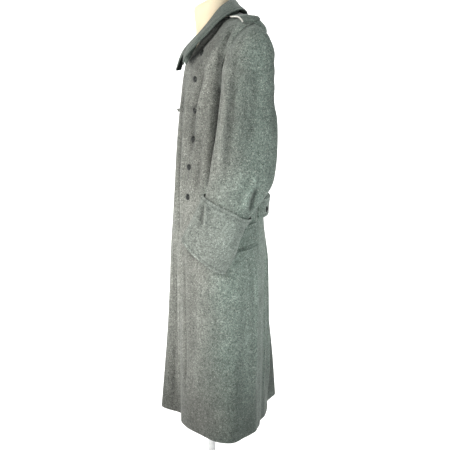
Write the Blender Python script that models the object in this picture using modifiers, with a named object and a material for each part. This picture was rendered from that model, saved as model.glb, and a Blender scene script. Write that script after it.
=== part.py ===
"""Double-breasted military greatcoat on a limbless dress form with a pole and a round base.

Metres, +Z up. The coat faces -Y, its wearer's left is +X. The origin is the centre of the base
plate's underside, on the floor, and the pole runs up the Z axis.

Angles run round the body from the centre front (0) over the wearer's left side (90) to the
centre back (180). Heights of the rows that cross the shoulders are given at front, side and back.
"""
import math
from collections import namedtuple
from functools import lru_cache

import bmesh
import bpy
from mathutils import Vector

# Driving sizes
CLOTH = 0.0025            # wall of the coat's heavy wool
SEAM = 0.0008             # parting of two panels at their outer faces
CLEAR = 0.0004            # parting of a piece and what it lies on
SHOULDER_HALF = 0.234     # half of the width over the shoulders
HEM_Z = 0.270
BODY_ROWS_BELOW_ARM = 12
ARMHOLE_STEPS = 20        # points round an armhole, which the sleeve rings share
FRONT_COLUMNS = 17
BACK_COLUMNS = 9

# Sections of the body from the hem to the neck seam
Section = namedtuple(
    "Section", "name z_front z_side z_back half_width front_y side_y back_y front_n back_n")
BODY = (
    Section("hem", 0.270, 0.270, 0.270, 0.266, -0.114, 0.028, 0.181, 2.0, 1.40),
    Section("shin", 0.450, 0.450, 0.450, 0.256, -0.113, 0.031, 0.178, 1.95, 1.50),
    Section("knee", 0.630, 0.630, 0.630, 0.244, -0.113, 0.034, 0.173, 1.85, 1.65),
    Section("thigh", 0.780, 0.780, 0.780, 0.230, -0.116, 0.040, 0.167, 1.75, 1.80),
    Section("waist", 0.930, 0.930, 0.930, 0.213, -0.114, 0.046, 0.154, 1.60, 2.0),
    Section("ribs", 1.050, 1.050, 1.050, 0.208, -0.110, 0.052, 0.157, 1.55, 2.1),
    Section("chest", 1.150, 1.150, 1.150, 0.205, -0.104, 0.056, 0.159, 1.52, 2.1),
    Section("underarm", 1.218, 1.235, 1.230, 0.204, -0.098, 0.062, 0.160, 1.50, 2.1),
    Section("armhole", 1.262, 1.345, 1.315, 0.215, -0.092, 0.070, 0.156, 1.50, 2.1),
    Section("shoulder tip", 1.305, 1.455, 1.412, SHOULDER_HALF, -0.086, 0.081, 0.144, 1.50, 2.1),
    Section("mid shoulder", 1.332, 1.476, 1.448, 0.160, -0.081, 0.066, 0.113, 1.55, 2.0),
    Section("neck", 1.352, 1.487, 1.500, 0.084, -0.077, 0.040, 0.087, 1.85, 2.0),
)
WAIST_ROW, UNDERARM_ROW, TIP_ROW, NECK_ROW = 4, 7, 9, 11

# The side seam leans back from the underarm to the waist
SEAM_AT_UNDERARM = 97.0
SEAM_AT_WAIST = 124.0

# Armhole: an oval in the angle and the side height
ARMHOLE_ANGLE = 94.0
ARMHOLE_HALF_ANGLE = 30.0
ARMHOLE_Z = 1.345
ARMHOLE_HALF_Z = 0.110

# The left front laps over the right one, the left back over the right one at the vent
LAP_EDGE = -37.0          # angle of the left front's free edge
LAP_STEP = 7.5            # the columns of the two fronts match where they lap
LAP_COLUMNS = 8
UNDERLAP_DROP = 0.0045    # how far the hidden layer lies under the other one
VENT_TOP = 0.850
VENT_LEFT_EDGE = 171.0    # at the hem
VENT_UNDERLAP_EDGE = 162.0

# Vertical folds: angle, half width and depth at the hem, the height where each dies out, the
# height where it is full and the power by which it grows between them
Fold = namedtuple("Fold", "angle half_angle depth z_top z_full growth")
FOLDS = (
    Fold(-7.0, 14.0, 0.046, 1.030, 0.250, 1.3),
    Fold(9.0, 8.0, -0.012, 0.930, 0.280, 1.3),
    Fold(27.0, 12.0, 0.007, 0.850, 0.340, 1.3),
    Fold(50.0, 11.0, -0.006, 0.810, 0.310, 1.3),
    Fold(74.0, 10.0, 0.006, 0.770, 0.290, 1.3),
    Fold(100.0, 9.0, -0.005, 0.810, 0.310, 1.3),
    Fold(122.0, 10.0, 0.006, 0.830, 0.300, 1.3),
    Fold(146.0, 11.0, -0.006, 0.850, 0.310, 1.3),
    Fold(199.0, 17.0, 0.058, 0.900, 0.250, 0.8),
    Fold(222.0, 11.0, -0.008, 0.830, 0.300, 1.3),
    Fold(246.0, 10.0, 0.008, 0.810, 0.290, 1.3),
    Fold(272.0, 10.0, -0.007, 0.770, 0.310, 1.3),
    Fold(297.0, 11.0, 0.008, 0.810, 0.290, 1.3),
    Fold(324.0, 10.0, -0.007, 0.850, 0.350, 1.3),
)

# Collar stations from the throat to the centre back: neck seam, fold line and fall edge
Station = namedtuple("Station", "part seam_angle fold_x fold_y fold_z edge_x edge_y edge_z")
COLLAR = (
    Station(0.0, 0.0, 0.006, -0.082, 1.384, 0.080, -0.090, 1.350),
    Station(0.2, 34.0, 0.042, -0.067, 1.412, 0.102, -0.080, 1.380),
    Station(0.4, 62.0, 0.066, -0.032, 1.453, 0.126, -0.042, 1.420),
    Station(0.6, 88.0, 0.074, 0.014, 1.508, 0.142, 0.020, 1.480),
    Station(0.8, 128.0, 0.062, 0.048, 1.533, 0.118, 0.080, 1.501),
    Station(1.0, 180.0, 0.000, 0.069, 1.541, 0.000, 0.113, 1.474),
)
RIGHT_POINT_SHIFT = (0.0, -0.007, -0.012)   # the right collar point hangs further forward
RIGHT_FOLD_BACK = 0.012   # the right half's fold line lies further back beside the throat
FOLD_SHARE = (0.0, 0.2, 0.7, 1.0, 0.6, 0.1, 0.0, 0.0)   # of it, from the seam to the fall edge
COLLAR_LIFT = 0.0010      # the stand's lower edge over the neck edge of the body
COLLAR_COLUMNS = 26
COLLAR_FOLD_RADIUS = 0.005
COLLAR_BULGE = 0.004

# Sleeve rings below the cap: centre, half width across and along, lean and roll in degrees
Ring = namedtuple("Ring", "name x y z half_thick half_deep lean roll")
LEFT_SLEEVE = (
    Ring("under the cap", 0.252, 0.066, 1.240, 0.052, 0.079, 2.0, 42.0),
    Ring("biceps", 0.257, 0.063, 1.170, 0.043, 0.0845, 3.0, 14.0),
    Ring("above elbow", 0.259, 0.0585, 1.110, 0.042, 0.0885, 6.0, 4.0),
    Ring("elbow", 0.261, 0.050, 1.050, 0.042, 0.090, 11.0, 0.0),
    Ring("below elbow", 0.265, 0.037, 1.005, 0.042, 0.086, 17.0, -5.0),
    Ring("cuff top", 0.270, 0.0165, 0.962, 0.042, 0.078, 23.0, -14.0),
    Ring("forearm", 0.275, -0.020, 0.900, 0.042, 0.074, 31.0, -18.0),
    Ring("end", 0.278, -0.061, 0.832, 0.043, 0.072, 37.0, -26.0),
)
RIGHT_SLEEVE = (
    Ring("under the cap", 0.252, 0.066, 1.240, 0.052, 0.079, 2.0, 42.0),
    Ring("biceps", 0.257, 0.064, 1.170, 0.043, 0.084, 3.0, 14.0),
    Ring("above elbow", 0.260, 0.062, 1.110, 0.042, 0.087, 4.0, 4.0),
    Ring("elbow", 0.262, 0.059, 1.050, 0.042, 0.088, 5.0, 0.0),
    Ring("below elbow", 0.269, 0.055, 1.002, 0.042, 0.085, 7.0, 0.0),
    Ring("cuff top", 0.277, 0.049, 0.953, 0.042, 0.079, 9.0, 0.0),
    Ring("forearm", 0.286, 0.039, 0.882, 0.041, 0.075, 11.0, 0.0),
    Ring("end", 0.293, 0.026, 0.811, 0.041, 0.073, 13.0, 0.0),
)
CAP_ROWS = 5
CAP_BACK_FULLNESS = 0.020 # the padded sleeve head stands out at its back
SLEEVE_ROWS = 11
UPPER_SLEEVE_FROM, UPPER_SLEEVE_TO = -6, 6        # steps of the ring on each side of its outer line

# Cuff: a tube round the sleeve's end
CUFF_FROM_ROW = 4.95      # place along the sleeve's rings
CUFF_ROWS = 4
CUFF_OFF_TOP = 0.0075     # stands off at its free upper edge
CUFF_OFF_END = 0.0034

# Shoulder strap
STRAP_LONG = (0.2285, 0.126)  # X of its outer end and of its rounded inner end
STRAP_HALF_WIDTH = 0.0215
STRAP_WALL = 0.0035
STRAP_LIFT = 0.0012
STRAP_ARCH = 0.006        # rises off the shoulder in its middle
STRAP_BUTTON_X = 0.1445
PIPING_RADIUS = 0.0014
STRAP_STEPS = 9

# Buttons
BUTTON_RADIUS = 0.0108
BUTTON_HEIGHT = 0.0062
BUTTON_STEPS = 12
BUTTON_OFF = 0.0008       # parting of a button and the cloth it is sewn on
TOP_BUTTON_OFF = 0.0014   # the cloth is hollow under the top pair
SMALL_BUTTON_RADIUS = 0.0085
FRONT_BUTTON_Z = (1.384, 1.309, 1.222, 1.139, 1.056, 0.969)
FRONT_BUTTON_X = (0.092, -0.082)

# Half-belt on the back
BELT_Z = 0.940
BELT_HALF_HEIGHT = 0.027
BELT_WALL = 0.0045
BELT_OFF = 0.0130         # stands off at the centre back
BELT_LEFT = (126.0, 225.0)
BELT_RIGHT = (234.0, 135.0)
BELT_BUTTON_ANGLES = (141.0, 219.0)
BELT_STEP = 9.0           # degrees between columns, which match where the straps lap

# Pocket flaps
FLAP_ANGLES = (58.0, 119.0)
FLAP_REAR_TOP_Z = 0.906
FLAP_HEIGHT = 0.066
FLAP_SLANT = 0.026        # the front end lies lower by this
FLAP_WALL = 0.0045
FLAP_OFF_TOP = 0.0018
FLAP_OFF_EDGE = 0.005
FLAP_STEPS = 10

# Dress form and stand
FORM_COLUMNS = 28
FORM_ARM_INSET = 0.012    # the form's sides lie deeper inside the armholes
FORM_BODY = (             # row places of the coat that the form follows, and how far inside
    (3.45, 0.016), (3.9, 0.012), (4.6, 0.010), (5.6, 0.008), (6.5, 0.006), (7.3, 0.004),
    (8.1, 0.003), (8.65, 0.002), (9.0, 0.0014), (9.5, 0.0012), (10.0, 0.0012), (10.5, 0.0025),
)
NeckRing = namedtuple("NeckRing", "z centre_y half_width half_deep slant")
FORM_NECK = (
    NeckRing(1.475, 0.012, 0.053, 0.054, 0.60),
    NeckRing(1.505, 0.005, 0.050, 0.052, 0.50),
    NeckRing(1.528, 0.000, 0.051, 0.053, 0.50),
    NeckRing(1.540, 0.000, 0.048, 0.052, 0.50),
    NeckRing(1.544, -0.001, 0.041, 0.044, 0.50),
)
POLE_RADIUS = 0.0115
BASE_RADIUS = 0.190
BASE_THICK = 0.008
HUB_RADIUS = 0.021
HUB_TOP = 0.062
SOCKET_FLOOR = 0.012
FIT = 0.0003


def catmull(values, v):
    """The smooth curve through equally spaced values, at place v."""
    last = len(values) - 1
    v = min(max(v, 0.0), last)
    i = min(int(v), last - 1)
    f = v - i
    p0 = values[max(i - 1, 0)]
    p1, p2 = values[i], values[i + 1]
    p3 = values[min(i + 2, last)]
    return 0.5 * (2 * p1 + (p2 - p0) * f + (2 * p0 - 5 * p1 + 4 * p2 - p3) * f * f
                  + (3 * p1 - p0 - 3 * p2 + p3) * f ** 3)


def smoothstep(f):
    f = min(max(f, 0.0), 1.0)
    return f * f * (3.0 - 2.0 * f)


@lru_cache(maxsize=None)
def section(v):
    """The body's section at row place v."""
    columns = zip(*(row[1:] for row in BODY))
    return Section("", *(catmull(column, v) for column in columns))


def row_at_side_height(z):
    """The row place whose side point has this height."""
    low, high = 0.0, float(NECK_ROW)
    for _ in range(40):
        middle = 0.5 * (low + high)
        if section(middle).z_side < z:
            low = middle
        else:
            high = middle
    return 0.5 * (low + high)


def bump(angle, centre, half):
    """A round bump of height 1, zero past the half width."""
    d = abs((angle - centre + 180.0) % 360.0 - 180.0) / half
    return math.cos(0.5 * math.pi * d) ** 2 if d < 1.0 else 0.0


def fold_height(angle, z):
    total = 0.0
    for fold in FOLDS:
        f = (fold.z_top - z) / (fold.z_top - fold.z_full)
        grown = min(max(f, 0.0), 1.0) ** fold.growth
        total += fold.depth * bump(angle, fold.angle, fold.half_angle) * grown
    return total


def body_point(angle, v):
    """A point on the coat's outer face."""
    s = section(v)
    t = math.radians(angle)
    side, along = math.sin(t), math.cos(t)
    if along > 0.0:
        n, depth, z_middle = s.front_n, s.side_y - s.front_y, s.z_front
    else:
        n, depth, z_middle = s.back_n, s.back_y - s.side_y, s.z_back
    r = (abs(side) ** n + abs(along) ** n) ** (-1.0 / n)
    z = z_middle + (s.z_side - z_middle) * side * side
    out = fold_height(angle, z)
    return Vector(((s.half_width * r + out) * side, s.side_y - (depth * r + out) * along, z))


def body_normal(angle, v):
    """The outward normal of the outer face."""
    round_step = body_point(angle + 1.0, v) - body_point(angle - 1.0, v)
    up_step = body_point(angle, min(v + 0.03, NECK_ROW)) - body_point(angle, max(v - 0.03, 0.0))
    return round_step.cross(up_step).normalized()


def body_off(angle, v, out):
    """A point off the outer face, outwards where out is positive."""
    return body_point(angle, v) + body_normal(angle, v) * out


def angle_step(angle, v, distance):
    """The angle that moves a point this far round the body."""
    speed = (body_point(angle + 0.5, v) - body_point(angle - 0.5, v)).length
    return distance / speed


def side_seam(v):
    z = section(v).z_side
    top = BODY[UNDERARM_ROW].z_side
    f = smoothstep((top - z) / (top - BODY[WAIST_ROW].z_side))
    return SEAM_AT_UNDERARM + (SEAM_AT_WAIST - SEAM_AT_UNDERARM) * f


def armhole_span(v):
    """How far the armhole reaches in angle on each side of its middle, at a row."""
    d = (section(v).z_side - ARMHOLE_Z) / ARMHOLE_HALF_Z
    return ARMHOLE_HALF_ANGLE * math.sqrt(max(0.0, 1.0 - d * d))


def in_armhole(v):
    return abs(section(v).z_side - ARMHOLE_Z) < ARMHOLE_HALF_Z - 1e-5 and v < TIP_ROW


def body_rows():
    """Row places from the hem to the neck; in the armhole they match the sleeve's ring."""
    low_v = row_at_side_height(ARMHOLE_Z - ARMHOLE_HALF_Z)
    rows = [low_v * i / BODY_ROWS_BELOW_ARM for i in range(BODY_ROWS_BELOW_ARM)]
    half = ARMHOLE_STEPS // 2
    for k in range(half + 1):
        z = ARMHOLE_Z - ARMHOLE_HALF_Z * math.cos(math.pi * k / half)
        rows.append(row_at_side_height(z) if k < half else float(TIP_ROW))
    rows += [TIP_ROW + 0.5, TIP_ROW + 1.0, TIP_ROW + 1.5, float(NECK_ROW)]
    return rows


def front_end(v):
    """Where a front panel ends: the side seam, the armhole or the shoulder seam."""
    if in_armhole(v):
        return ARMHOLE_ANGLE - armhole_span(v)
    if v >= TIP_ROW:
        return ARMHOLE_ANGLE
    return side_seam(v)


def back_start(v):
    if in_armhole(v):
        return max(ARMHOLE_ANGLE + armhole_span(v), ARMHOLE_ANGLE + 0.4)
    if v >= TIP_ROW:
        return ARMHOLE_ANGLE
    return side_seam(v)


def centre_left_back(v):
    z = section(v).z_back
    f = smoothstep((VENT_TOP - z) / (VENT_TOP - HEM_Z))
    return 180.0 - (180.0 - VENT_LEFT_EDGE) * f


def centre_right_back(v):
    """The right back passes under the left one below the top of the vent."""
    return VENT_UNDERLAP_EDGE if section(v).z_back < VENT_TOP - 0.02 else 180.0


def under_drop(angle, v, right_front):
    """How far a hidden layer lies inside the outer face."""
    if right_front:
        signed = (angle + 180.0) % 360.0 - 180.0
        return UNDERLAP_DROP * smoothstep((signed + 48.0) / 12.0)
    z = section(v).z_back
    near_vent = smoothstep((VENT_TOP + 0.08 - z) / 0.07)
    return UNDERLAP_DROP * near_vent * smoothstep((194.0 - angle) / 8.0)


def new_object(name, mesh, material, collection):
    mesh.materials.append(material)
    obj = bpy.data.objects.new(name, mesh)
    collection.objects.link(obj)
    return obj


def grid_mesh(name, points, closed=False):
    """A sheet over rows of points; closed joins the last column to the first."""
    bm = bmesh.new()
    verts = [[bm.verts.new(p) for p in row] for row in points]
    count = len(points[0])
    for i in range(len(points) - 1):
        for j in range(count if closed else count - 1):
            k = (j + 1) % count
            bm.faces.new((verts[i][j], verts[i][k], verts[i + 1][k], verts[i + 1][j]))
    mesh = bpy.data.meshes.new(name)
    bm.to_mesh(mesh)
    bm.free()
    mesh.shade_smooth()
    return mesh


def wall(obj, thickness):
    """Gives a sheet its thickness, inwards from the modelled face."""
    solid = obj.modifiers.new("wall", "SOLIDIFY")
    solid.thickness = thickness
    solid.offset = -1.0
    solid.use_even_offset = False
    solid.use_quality_normals = True


def loft_wall(name, outer, inner, material, collection):
    """A closed wall between an outer and an inner sheet of the same rows and columns."""
    bm = bmesh.new()
    faces = [[[bm.verts.new(p) for p in row] for row in sheet] for sheet in (outer, inner)]
    out, ins = faces
    rows, columns = len(outer), len(outer[0])
    for i in range(rows - 1):
        for j in range(columns - 1):
            bm.faces.new((out[i][j], out[i][j + 1], out[i + 1][j + 1], out[i + 1][j]))
            bm.faces.new((ins[i][j], ins[i + 1][j], ins[i + 1][j + 1], ins[i][j + 1]))
    for i in range(rows - 1):
        bm.faces.new((out[i][0], out[i + 1][0], ins[i + 1][0], ins[i][0]))
        bm.faces.new((out[i][-1], ins[i][-1], ins[i + 1][-1], out[i + 1][-1]))
    for j in range(columns - 1):
        bm.faces.new((out[0][j], ins[0][j], ins[0][j + 1], out[0][j + 1]))
        bm.faces.new((out[-1][j], out[-1][j + 1], ins[-1][j + 1], ins[-1][j]))
    mesh = bpy.data.meshes.new(name)
    bm.to_mesh(mesh)
    bm.free()
    mesh.shade_smooth()
    mesh.set_sharp_from_angle(angle=math.radians(50.0))
    return new_object(name, mesh, material, collection)


def even_angles(start, end, columns, v):
    """Even columns between two edges, each drawn back by half of the seam's gap."""
    first = start(v) + angle_step(start(v), v, SEAM / 2)
    last = end(v) - angle_step(end(v), v, SEAM / 2)
    return [first + (last - first) * j / columns for j in range(columns + 1)]


def left_front_angles(v):
    lap = [LAP_EDGE + LAP_STEP * k for k in range(LAP_COLUMNS)]
    inner_edge = LAP_EDGE + LAP_STEP * LAP_COLUMNS
    return lap + even_angles(lambda _: inner_edge, front_end, FRONT_COLUMNS - LAP_COLUMNS, v)


def right_front_angles(v):
    count = FRONT_COLUMNS - LAP_COLUMNS
    turned = even_angles(lambda _: -LAP_EDGE, front_end, count, v)
    hidden = [360.0 + LAP_EDGE + LAP_STEP * k for k in range(LAP_COLUMNS)]
    return [360.0 - angle for angle in reversed(turned[1:])] + hidden


def body_panel(name, columns, drop, material, collection):
    """A panel of the body; columns gives the angles of a row."""
    outer, inner = [], []
    for v in body_rows():
        angles = columns(v)
        outer.append([body_off(angle, v, -drop(angle, v)) for angle in angles])
        inner.append([body_off(angle, v, -drop(angle, v) - CLOTH) for angle in angles])
    loft_wall(name, outer, inner, material, collection)


def make_body(material, collection):
    def none(angle, v):
        return 0.0

    def right_start(v):
        return 360.0 - back_start(v)

    body_panel("front_left", left_front_angles, none, material, collection)
    body_panel("front_right", right_front_angles, lambda a, v: under_drop(a, v, True),
               material, collection)
    body_panel("back_left", lambda v: even_angles(back_start, centre_left_back, BACK_COLUMNS, v),
               none, material, collection)
    body_panel("back_right", lambda v: even_angles(centre_right_back, right_start,
                                                   BACK_COLUMNS + 2, v),
               lambda a, v: under_drop(a, v, False), material, collection)


def ring_frame(table, place):
    """Centre, outward and forward half axes of a sleeve ring at a place along its table."""
    r = Ring("", *(catmull(column, place) for column in zip(*(row[1:] for row in table))))
    lean, roll = math.radians(r.lean), math.radians(r.roll)
    outward = Vector((math.cos(roll), 0.0, math.sin(roll))) * r.half_thick
    forward = Vector((0.0, -math.cos(lean), math.sin(lean))) * r.half_deep
    return Vector((r.x, r.y, r.z)), outward, forward


def ring_point(table, place, step, grow=0.0):
    """Step 0 is the outer line, a quarter of the steps is the front line."""
    centre, outward, forward = ring_frame(table, place)
    a = 2.0 * math.pi * step / ARMHOLE_STEPS
    along = outward * math.cos(a) + forward * math.sin(a)
    out = (outward.normalized() * math.cos(a) / outward.length
           + forward.normalized() * math.sin(a) / forward.length).normalized()
    return centre + along + out * grow


def armhole_point(step):
    a = 2.0 * math.pi * step / ARMHOLE_STEPS
    z = ARMHOLE_Z + ARMHOLE_HALF_Z * math.cos(a)
    top = abs(math.sin(a)) < 1e-6 and math.cos(a) > 0.0
    v = float(TIP_ROW) if top else row_at_side_height(z)
    return body_point(ARMHOLE_ANGLE - ARMHOLE_HALF_ANGLE * math.sin(a), v)


def cap_point(table, step, f):
    """The sleeve's cap: a curve from the armhole to the first ring."""
    a = 2.0 * math.pi * step / ARMHOLE_STEPS
    start = armhole_point(step)
    end = ring_point(table, 0.0, step)
    rise = 0.5 + 0.5 * math.cos(a)
    aside = -0.15 * math.sin(a) if math.sin(a) > 0.0 else -0.85 * math.sin(a)
    leave = Vector((1.0, aside, -0.12 - 0.10 * rise)).normalized()
    arrive = (ring_point(table, 0.4, step) - end).normalized()
    reach = (end - start).length
    start = start + leave * SEAM
    h0 = 2 * f ** 3 - 3 * f * f + 1
    h1 = f ** 3 - 2 * f * f + f
    h2 = -2 * f ** 3 + 3 * f * f
    h3 = f ** 3 - f * f
    full = CAP_BACK_FULLNESS * math.sin(math.pi * f) * max(0.0, -math.sin(a)) ** 0.6
    full *= rise ** 3
    return (start * h0 + leave * (reach * 1.05 * h1) + end * h2 + arrive * (reach * 0.95 * h3)
            + Vector((0.0, 1.0, 0.8)) * full)


def sleeve_tube(table):
    """Closed rows from the armhole over the cap and down to the sleeve's end."""
    last = len(table) - 1
    steps = range(ARMHOLE_STEPS)
    rows = [[cap_point(table, step, i / CAP_ROWS) for step in steps] for i in range(CAP_ROWS)]
    rows += [[ring_point(table, last * i / SLEEVE_ROWS, step) for step in steps]
             for i in range(SLEEVE_ROWS + 1)]
    return rows


def mirrored(points):
    """The same rows on the wearer's right side, turned so that they still face outwards."""
    return [[Vector((-p.x, p.y, p.z)) for p in reversed(row)] for row in points]


def ring_normals(rows):
    """Outward normals of a tube of closed rows, from the arm's top to its end."""
    count = len(rows[0])
    normals = []
    for i, row in enumerate(rows):
        above, below = rows[max(i - 1, 0)], rows[min(i + 1, len(rows) - 1)]
        line = []
        for j in range(count):
            along = row[(j + 1) % count] - row[j - 1]
            line.append(along.cross(above[j] - below[j]).normalized() * -1.0)
        normals.append(line)
    return normals


def make_sleeves(material, collection):
    """Each sleeve is an upper and an under piece of one tube, parted at two seams."""
    spans = (("upper", UPPER_SLEEVE_FROM, UPPER_SLEEVE_TO),
             ("under", UPPER_SLEEVE_TO, UPPER_SLEEVE_FROM + ARMHOLE_STEPS))
    for side, table in (("left", LEFT_SLEEVE), ("right", RIGHT_SLEEVE)):
        rows = sleeve_tube(table)
        normals = ring_normals(rows)
        inside = [[p - n * CLOTH for p, n in zip(row, line)] for row, line in zip(rows, normals)]
        for part, first, last in spans:
            sheets = []
            for sheet in (rows, inside):
                cut = []
                for row in sheet:
                    line = [row[step % ARMHOLE_STEPS].copy() for step in range(first, last + 1)]
                    line[0] += (line[1] - line[0]).normalized() * SEAM / 2
                    line[-1] += (line[-2] - line[-1]).normalized() * SEAM / 2
                    cut.append(line)
                sheets.append(cut if side == "left" else mirrored(cut))
            loft_wall("sleeve_{}_{}".format(side, part), *sheets, material, collection)


def make_cuffs(material, collection):
    for side, table in (("left", LEFT_SLEEVE), ("right", RIGHT_SLEEVE)):
        last = len(table) - 1
        points = []
        for i in range(CUFF_ROWS + 1):
            f = i / CUFF_ROWS
            place = last + (CUFF_FROM_ROW - last) * f
            off = CUFF_OFF_END + (CUFF_OFF_TOP - CUFF_OFF_END) * f
            points.append([ring_point(table, place, -step, off) for step in range(ARMHOLE_STEPS)])
        name = "cuff_" + side
        grid = points if side == "left" else mirrored(points)
        wall(new_object(name, grid_mesh(name, grid, closed=True), material, collection), CLOTH)


def collar_line(part):
    """One line over the collar's left half: up the stand, over the fold and down the fall."""
    place = part * (len(COLLAR) - 1)
    s = Station("", *(catmull(column, place) for column in zip(*(row[1:] for row in COLLAR))))
    fold = Vector((s.fold_x, s.fold_y, s.fold_z))
    edge = Vector((s.edge_x, s.edge_y, s.edge_z))
    seam = body_point(s.seam_angle, NECK_ROW) + Vector((0.0, 0.0, COLLAR_LIFT))
    fall = edge - fold
    stand = seam - fold
    up = -(fall.normalized() + stand.normalized()).normalized()
    across = (fall.normalized() - stand.normalized()).normalized()
    radius = COLLAR_FOLD_RADIUS
    inner = fold - across * radius * 0.8 - up * radius
    outer = fold + across * radius * 0.8 - up * radius
    crown = up * COLLAR_BULGE
    line = [seam, seam.lerp(inner, 0.5), inner, fold, outer]
    for f in (0.35, 0.7, 1.0):
        line.append(outer.lerp(edge, f) + crown * math.sin(math.pi * f) * 0.8)
    return line


def make_collar(material, collection):
    steps = COLLAR_COLUMNS // 2
    left = [collar_line(i / steps) for i in range(steps + 1)]
    right = []
    for i, line in enumerate(left[:-1]):
        pull = Vector(RIGHT_POINT_SHIFT) * (1.0 - i / steps) ** 3
        back = Vector((0.0, RIGHT_FOLD_BACK * bump(100.0 * i / steps, 36.0, 36.0), 0.0))
        count = len(line) - 1
        right.append([Vector((-p.x, p.y, p.z)) + pull * max(0.0, k / count - 0.4) / 0.6
                      + back * FOLD_SHARE[k]
                      for k, p in enumerate(line)])
    columns = left + list(reversed(right))
    rows = [[column[i] for column in columns] for i in range(len(columns[0]))]
    wall(new_object("collar", grid_mesh("collar", rows), material, collection), CLOTH)


def shoulder_point(x, aside, out):
    """A point over the shoulder seam: its place along X, its offset to the back, its lift."""
    low, high = float(TIP_ROW), float(NECK_ROW)
    for _ in range(30):
        v = 0.5 * (low + high)
        low, high = (v, high) if body_point(90.0, v).x > x else (low, v)
    s = section(v)
    depth = s.back_y - s.side_y if aside > 0.0 else s.side_y - s.front_y
    return body_off(90.0 + math.degrees(math.asin(aside / depth)), v, out)


def strap_outline_half(x):
    """Half of the strap's width at a place along X; its inner end is rounded."""
    outer, inner = STRAP_LONG
    from_end = x - inner
    if from_end < STRAP_HALF_WIDTH:
        rest = 1.0 - from_end / STRAP_HALF_WIDTH
        return STRAP_HALF_WIDTH * math.sqrt(max(1.0 - rest * rest, 0.03))
    return STRAP_HALF_WIDTH


def strap_point(x, aside, out):
    outer, inner = STRAP_LONG
    arch = STRAP_ARCH * math.sin(math.pi * min(max((outer - x) / (outer - inner), 0.0), 1.0))
    return shoulder_point(x, aside, STRAP_LIFT + arch + out)


def make_shoulder_straps(strap_finish, piping_finish, button_finish, collection):
    outer, inner = STRAP_LONG
    steps = STRAP_STEPS
    places = [outer + (inner - outer) * math.sin(0.5 * math.pi * i / steps) for i in range(steps + 1)]
    across = [-1.0, -0.5, 0.0, 0.5, 1.0]
    sheets = []
    for out in (STRAP_WALL, 0.0):
        sheets.append([[strap_point(x, strap_outline_half(x) * a, out) for a in across]
                       for x in places])
    outline = [Vector((x, -strap_outline_half(x))) for x in places]
    outline += [Vector((x, strap_outline_half(x))) for x in reversed(places)]
    edge = []
    for i, point in enumerate(outline):
        along = outline[min(i + 1, len(outline) - 1)] - outline[max(i - 1, 0)]
        outward = Vector((along.y, -along.x)).normalized()
        x, aside = point - outward * (PIPING_RADIUS + 0.0007)
        edge.append(strap_point(x, aside, STRAP_WALL * 0.5))
    button_place = strap_point(STRAP_BUTTON_X, 0.0, STRAP_WALL + BUTTON_OFF)
    x = STRAP_BUTTON_X
    inwards = strap_point(x - 0.005, 0.0, 0.0) - strap_point(x + 0.005, 0.0, 0.0)
    rearwards = strap_point(x, 0.008, 0.0) - strap_point(x, -0.008, 0.0)
    up = rearwards.cross(inwards).normalized()
    for name, sign in (("left", 1.0), ("right", -1.0)):
        if sign > 0.0:
            grids, line = sheets, edge
        else:
            grids = [mirrored(sheet) for sheet in sheets]
            line = [Vector((-p.x, p.y, p.z)) for p in edge]
        loft_wall("shoulder_strap_" + name, *grids, strap_finish, collection)
        tube("strap_piping_" + name, line, PIPING_RADIUS, piping_finish, collection)
        place = Vector((button_place.x * sign, button_place.y, button_place.z))
        make_button("strap_button_" + name, SMALL_BUTTON_RADIUS, place,
                    Vector((up.x * sign, up.y, up.z)), button_finish, collection)


def tube(name, line, radius, material, collection):
    """A round tube with filled ends along a line of points."""
    curve = bpy.data.curves.new(name, "CURVE")
    curve.dimensions = "3D"
    curve.bevel_depth = radius
    curve.bevel_resolution = 1
    curve.use_fill_caps = True
    spline = curve.splines.new("POLY")
    spline.points.add(len(line) - 1)
    for point, place in zip(spline.points, line):
        point.co = (*place, 1.0)
    curve.materials.append(material)
    obj = bpy.data.objects.new(name, curve)
    collection.objects.link(obj)


def turned(name, profile, steps, material, collection):
    """A solid turned about Z; the profile's points of radius and height run from its top, down
    the outer side, to the middle of its underside."""
    mesh = bpy.data.meshes.new(name)
    mesh.from_pydata([(r, 0.0, z) for r, z in profile],
                     [(i, i + 1) for i in range(len(profile) - 1)], [])
    obj = new_object(name, mesh, material, collection)
    screw = obj.modifiers.new("turn", "SCREW")
    screw.axis = "Z"
    screw.angle = 2.0 * math.pi
    screw.steps = steps
    screw.render_steps = steps
    screw.use_merge_vertices = True
    screw.merge_threshold = 1e-5
    screw.use_smooth_shade = True
    return obj


def make_button(name, radius, point, normal, material, collection):
    height = BUTTON_HEIGHT * radius / BUTTON_RADIUS
    profile = [(0.0, height), (radius * 0.70, height * 0.82), (radius, height * 0.35),
               (radius * 0.88, 0.0), (0.0, 0.0)]
    obj = turned(name, profile, BUTTON_STEPS, material, collection)
    obj.rotation_euler = normal.to_track_quat("Z", "Y").to_euler()
    obj.location = point


def body_place(x, z):
    """The angle and row of the front face's point over this X and at this height."""
    side = 1.0 if x >= 0.0 else -1.0
    low_v, high_v = 0.0, float(NECK_ROW)
    for _ in range(30):
        v = 0.5 * (low_v + high_v)
        low_a, high_a = 0.0, 89.0
        for _ in range(24):
            angle = 0.5 * (low_a + high_a)
            if abs(body_point(angle * side, v).x) < abs(x):
                low_a = angle
            else:
                high_a = angle
        if body_point(angle * side, v).z < z:
            low_v = v
        else:
            high_v = v
    return angle * side, v


def make_front_buttons(material, collection):
    for side, x in zip(("left", "right"), FRONT_BUTTON_X):
        for i, z in enumerate(FRONT_BUTTON_Z):
            angle, v = body_place(x, z)
            off = BUTTON_OFF if i else TOP_BUTTON_OFF
            make_button("front_button_{}_{}".format(side, i + 1), BUTTON_RADIUS,
                        body_off(angle, v, off), body_normal(angle, v), material, collection)


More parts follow.
